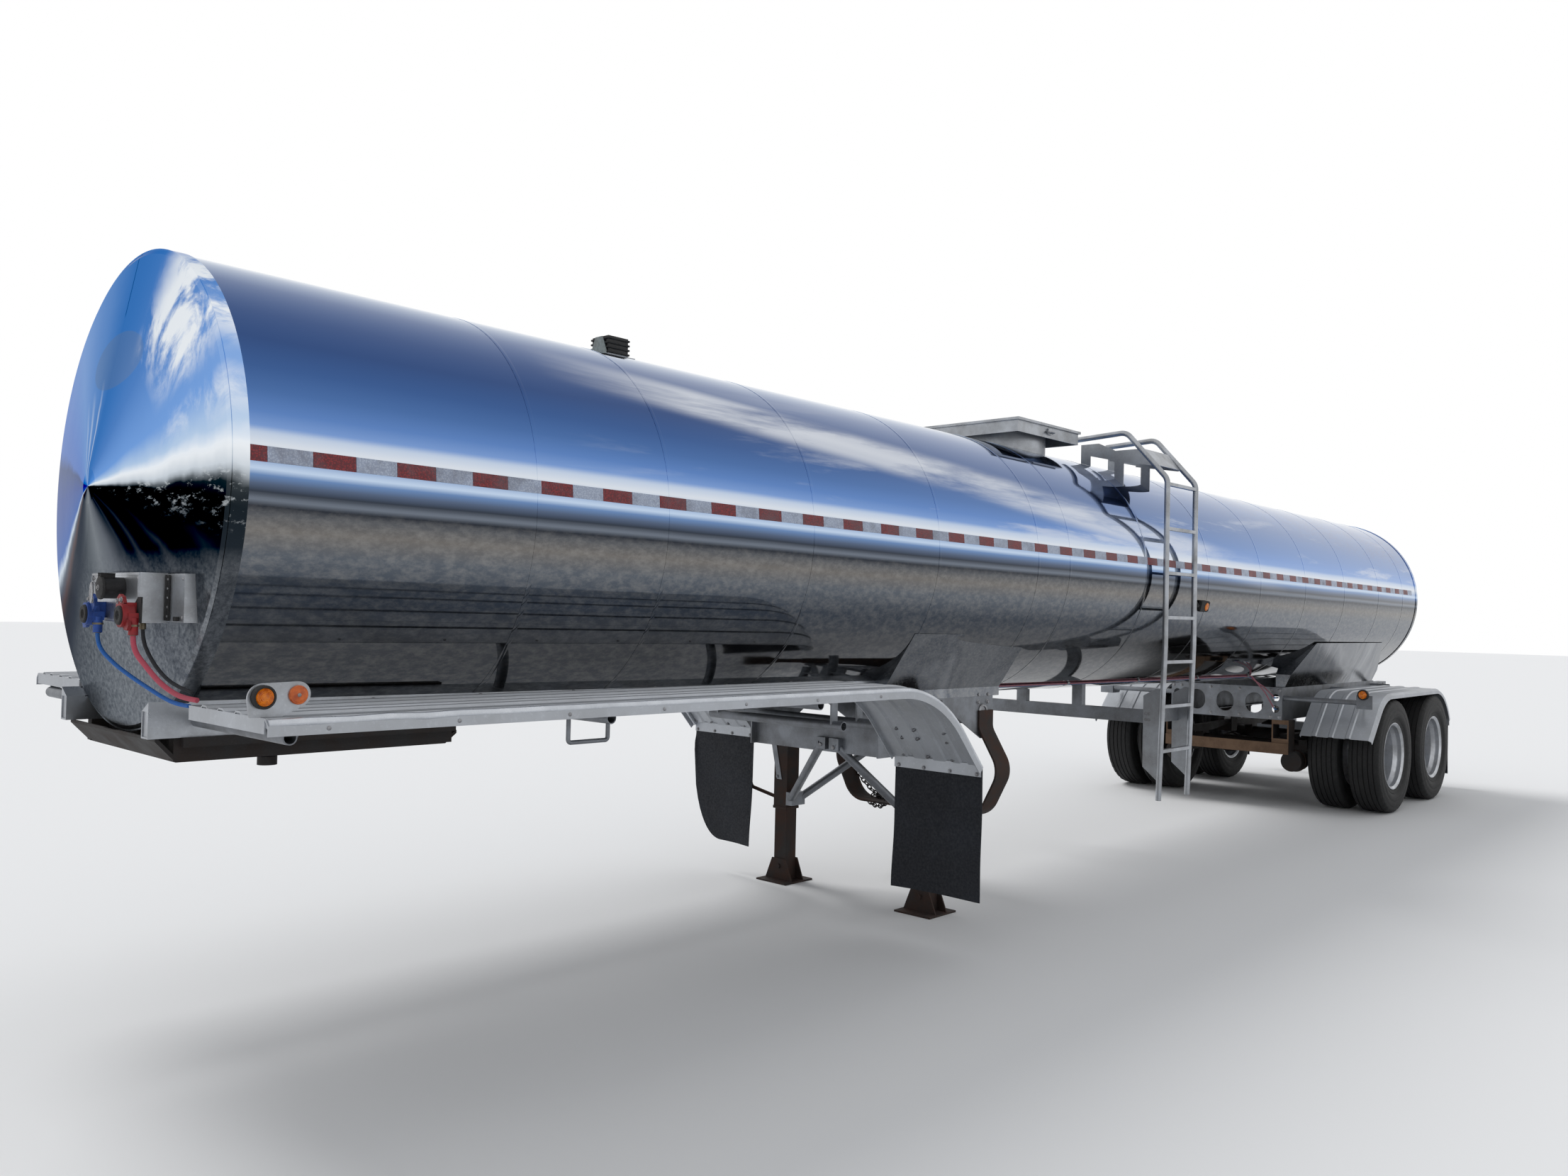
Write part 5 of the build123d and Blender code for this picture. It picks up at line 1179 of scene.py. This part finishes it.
def spare_chain():
    """Chain and hook in the hoop."""
    chain = Form()
    chain.tube([CHAIN_HOOK + Vector(bend) for bend in HOOK_BENDS], 0.0045, 8)
    lay_chain(chain, [CHAIN_HOOK + Vector((0, 0.018, -0.022))] + [at(*place) for place in CHAIN_HEAP])
    lay_chain(chain, [at(*place) for place in CHAIN_LOOP])
    chain.done("spare_chain", [DARK], "rusty_steel")


spare_chain()

# Bolts of the landing frame and of the frames behind it
FRAME_SIDE_Y, FRAME_STATIONS, FRAME_HEIGHTS = 486, (3668, 3860, 4560, 4660), (1150, 1196)
BRACE_STATION, BRACE_BOLTS = 3608, ((67, 921), (162, 910))
BEAM_ENDS, BEAM_YS, BEAM_HEIGHTS = ((6207.6, FRONT), (6668.4, -FRONT)), (762, 784), (985, 1025)
FLAP_STATION, FLAP_YS, FLAP_Z = 11825.2, (762, 905, 1082, 1224), 716
BUMPER_ARM_Y, BUMPER_ARM_STATIONS, BUMPER_ARM_HEIGHTS = 510.2, (12340, 12160), (1000, 1050)
SUBFRAME_STATION, SUBFRAME_YS, SUBFRAME_HEIGHTS = 9389.8, (-497, -420, -135, 135, 420, 497), (828, 1068)
POST_FITTING = ((0, 0.045), (0.006, 0.045), (0.010, 0.041), (0.010, 0.030), (0.004, 0.027), (0.004, 0))


def landing_frame_bolts():
    """Round fitting on the rear post, and bolts of the front braces and the frame's sides."""
    posts = Form()
    posts.lathe(at(4610, FRAME_SIDE_Y - 0.1, 1094), LEFT, POST_FITTING, 28)
    for y, z in BRACE_BOLTS:
        posts.bolt(at(BRACE_STATION, y, z), FRONT, 0.012, 0.009)
    for _, side in SIDES:
        for station in FRAME_STATIONS:
            for z in FRAME_HEIGHTS:
                posts.bolt(at(station, side * FRAME_SIDE_Y, z), LEFT * side, 0.010, 0.008)
    posts.done("landing_frame_bolts", [BOLT], "satin_steel")


def frame_bolts():
    """Bolts of the ladder beam, the rear flaps, the bumper's arms and the rear subframe."""
    small = Form()
    for z in BEAM_HEIGHTS:
        for y in BEAM_YS:
            for station, way in BEAM_ENDS:
                small.bolt(at(station, y, z), way, 0.008, 0.006)
    for _, side in SIDES:
        for y in FLAP_YS:
            small.bolt(at(FLAP_STATION, side * y, FLAP_Z), -FRONT, 0.0085, 0.006)
        for z in BUMPER_ARM_HEIGHTS:
            for station in BUMPER_ARM_STATIONS:
                small.bolt(at(station, side * BUMPER_ARM_Y, z), LEFT * side, 0.011, 0.008)
    for y in SUBFRAME_YS:
        for z in SUBFRAME_HEIGHTS:
            small.bolt(at(SUBFRAME_STATION, y, z), FRONT, 0.010, 0.007)
    small.done("frame_bolts", [BOLT], "satin_steel")


landing_frame_bolts()
frame_bolts()

# Manhole cover: bolt heads on its hinge pins, and the bail latch opposite
HINGE_STATIONS, HINGE_Y, HINGE_Z, PIN_HALF = (5285, 5775), -399, 2892, 51.5
LATCH_Z = 2915
LATCH_ENDS = (5500, 5560)
LATCH_FOOT = ((0, 0.010), (0.003, 0.010), (0.004, 0.008))
LATCH_BAR = ((5500, 379), (5500, 391), (5504, 397), (5556, 397), (5560, 391), (5560, 379))


def cover_fastenings():
    """Hinge pin heads on the collar, and the latch, which moves with the cover."""
    pins = Form()
    for station in HINGE_STATIONS:
        for way in (1, -1):
            pins.bolt(at(station - way * PIN_HALF, HINGE_Y, HINGE_Z), FRONT * way, 0.012, 0.008)
    pins.done("cover_hinge_pins", [BOLT], "satin_steel")
    latch = Form()
    latch.tube([at(station, y, LATCH_Z) for station, y in LATCH_BAR], 0.0055, 10)
    for station in LATCH_ENDS:
        latch.lathe(at(station, 380.5, LATCH_Z), LEFT, LATCH_FOOT, 16)
    latch.done("cover_latch", [BOLT], "satin_steel", body="manhole_cover")


# Vent: fins round the housing, a pale plate on its front, and a seat plate that runs on behind it
FIN_HEIGHTS = (2876, 2898, 2920, 2942)
VENT_PLATE = ((-60, 2868), (60, 2868), (58, 2884), (27, 2956), (-27, 2956), (-58, 2884))


def vent_trim():
    """Fins, front plate and seat plate of the vent."""
    fins = Form()
    for z in FIN_HEIGHTS:
        fins.box(at(2147, -67, z), at(2013, 67, z + 9), 0.002)
    fins.done("vent_fins", [BLACK], "hose_rubber")
    face = Form()
    face.slab([at(2013.5, y, z) for y, z in VENT_PLATE], FRONT * 0.004)
    face.done("vent_face_plate", [VENT_FACE], "satin_steel")
    seat = Form()
    seat.box(at(2238, -66, 2838), at(2158, 66, 2861), 0.0015)
    for y in (-52, 52):
        seat.rivet(at(2222, y, 2861), UP, 0.005)
    seat.done("vent_seat_plate", [SATIN], "satin_steel")


cover_fastenings()
vent_trim()

# Deck edges: name, side, station of the front end, station where the fender starts to bend down
DECK_EDGES = (("left", 1, -63.0, 2803.0), ("right", -1, 50.0, 3216.0))
EDGE_Y, EDGE_Z = 1249, 1319
BEND_RADIUS, BEND_CENTRE_Z = 631, 688
STRAIGHT_STEPS, BEND_STEPS, BEND_STEP = 24, 12, 4


def deck_edge(name, side, front, bend):
    """Rounded bead along the outer edge of a front deck, dented at its front end."""
    line = []
    for index in range(STRAIGHT_STEPS + 1):
        station = front + 3 + (bend - front - 3) * index / STRAIGHT_STEPS
        dent = max(0.0, 1 - (station - front) / 1500.0)
        y = EDGE_Y + 2.2 * dent * math.sin(index * 1.9)
        line.append(at(station, side * y, EDGE_Z + 2.4 * dent * math.sin(index * 2.7)))
    for index in range(1, BEND_STEPS + 1):
        a = math.radians(BEND_STEP * index)
        z = BEND_CENTRE_Z + BEND_RADIUS * math.cos(a)
        line.append(at(bend + BEND_RADIUS * math.sin(a), side * EDGE_Y, z))
    line.append(line[-1] - TAIL_UP * 0.255)
    bead = Form()
    bead.tube(line, 0.014, 14)
    bead.done("deck_edge_" + name, [EDGE], "bright_aluminium")


def rail_end_caps():
    """Thin caps on the front ends of the frame rails."""
    caps = Form()
    for _, side in SIDES:
        low, high = sorted((side * 385.6, side * 430.4))
        caps.box(at(-78, low, 1212.6), at(-82, high, 1294.4), 0.0006)
    caps.done("rail_end_caps", [SATIN], "satin_steel")


for row in DECK_EDGES:
    deck_edge(*row)
rail_end_caps()

# Clips of the air lines under the tank, and the conduits of the side markers
AIR_LINE_Y = 0.309
CLIP_STATIONS = range(620, 9200, 1060)
LINE_TURN = math.asin(AIR_LINE_Y / TANK_R)
CONDUIT = (
    (6922, -14, 0.012), (6902, -13.8, 0.012), (6884, -13, 0.010), (6872, -12, 0.004), (6868, -11.5, -0.004),
)


def air_line_clips():
    """Clips that hold the air lines to the tank's underside."""
    clips = Form()
    out = Vector((0, math.sin(LINE_TURN), -math.cos(LINE_TURN)))
    turn = Matrix.Rotation(LINE_TURN, 3, "X")
    for station in CLIP_STATIONS:
        foot = Vector((xs(station), 0, axis_z(xs(station)))) + out * TANK_R
        clips.block(foot + out * 0.0068, (0.011, 0.024, 0.0078), 0.003, turn)
    clips.done("air_line_clips", [BOLT], "satin_steel")


def marker_conduits():
    """Short conduit and gland in front of each side marker."""
    wires = Form()
    for _, side in SIDES:
        wires.tube([on_jacket(station, angle, side, lift) for station, angle, lift in CONDUIT], 0.007, 10)
        wires.block(on_jacket(6896, MARKER_ANGLE, side, 0.008), (0.014, 0.010, 0.012), 0.003)
    wires.done("marker_conduits", [BLACK], "hose_rubber")


air_line_clips()
marker_conduits()


# Stage
def add_floor():
    """Wide pale floor."""
    mesh = bpy.data.meshes.new("floor")
    bm = bmesh.new()
    bmesh.ops.create_grid(bm, x_segments=1, y_segments=1, size=90)
    bm.to_mesh(mesh)
    bm.free()
    floor = add_object("floor", mesh)
    material = bpy.data.materials.new("floor")
    material.use_nodes = True
    inputs = material.node_tree.nodes["Principled BSDF"].inputs
    inputs["Base Color"].default_value = (0.86, 0.86, 0.86, 1)
    inputs["Roughness"].default_value = 0.9
    inputs["Specular IOR Level"].default_value = 0.1
    mesh.materials.append(material)


def add_world():
    """Soft light from all round, which is plain white for the camera, in mirrors and through glass."""
    world = bpy.data.worlds.new("studio")
    bpy.context.scene.world = world
    world.use_nodes = True
    tree = world.node_tree
    tree.nodes.clear()
    path = tree.nodes.new("ShaderNodeLightPath")
    seen = path.outputs["Is Camera Ray"]
    for ray in ("Is Glossy Ray", "Is Transmission Ray"):
        either = tree.nodes.new("ShaderNodeMath")
        either.operation = "MAXIMUM"
        tree.links.new(seen, either.inputs[0])
        tree.links.new(path.outputs[ray], either.inputs[1])
        seen = either.outputs[0]
    join = tree.nodes.new("ShaderNodeMixShader")
    tree.links.new(seen, join.inputs[0])
    for index, colour, strength in ((1, (0.95, 0.97, 1.0, 1), 0.62), (2, (1, 1, 1, 1), 1.0)):
        light = tree.nodes.new("ShaderNodeBackground")
        light.inputs["Color"].default_value = colour
        light.inputs["Strength"].default_value = strength
        tree.links.new(light.outputs[0], join.inputs[index])
    tree.links.new(join.outputs[0], tree.nodes.new("ShaderNodeOutputWorld").inputs[0])


def add_sun():
    """Wide soft sun from high on the right side, left out of mirrors."""
    data = bpy.data.lights.new("sun", "SUN")
    data.energy = 1.5
    data.angle = math.radians(25)
    sun = add_object("sun", data)
    sun.rotation_euler = (math.radians(38), math.radians(18), math.radians(-20))
    sun.visible_glossy = False


add_floor()
add_world()
add_sun()

bpy.context.scene.view_settings.view_transform = "Standard"
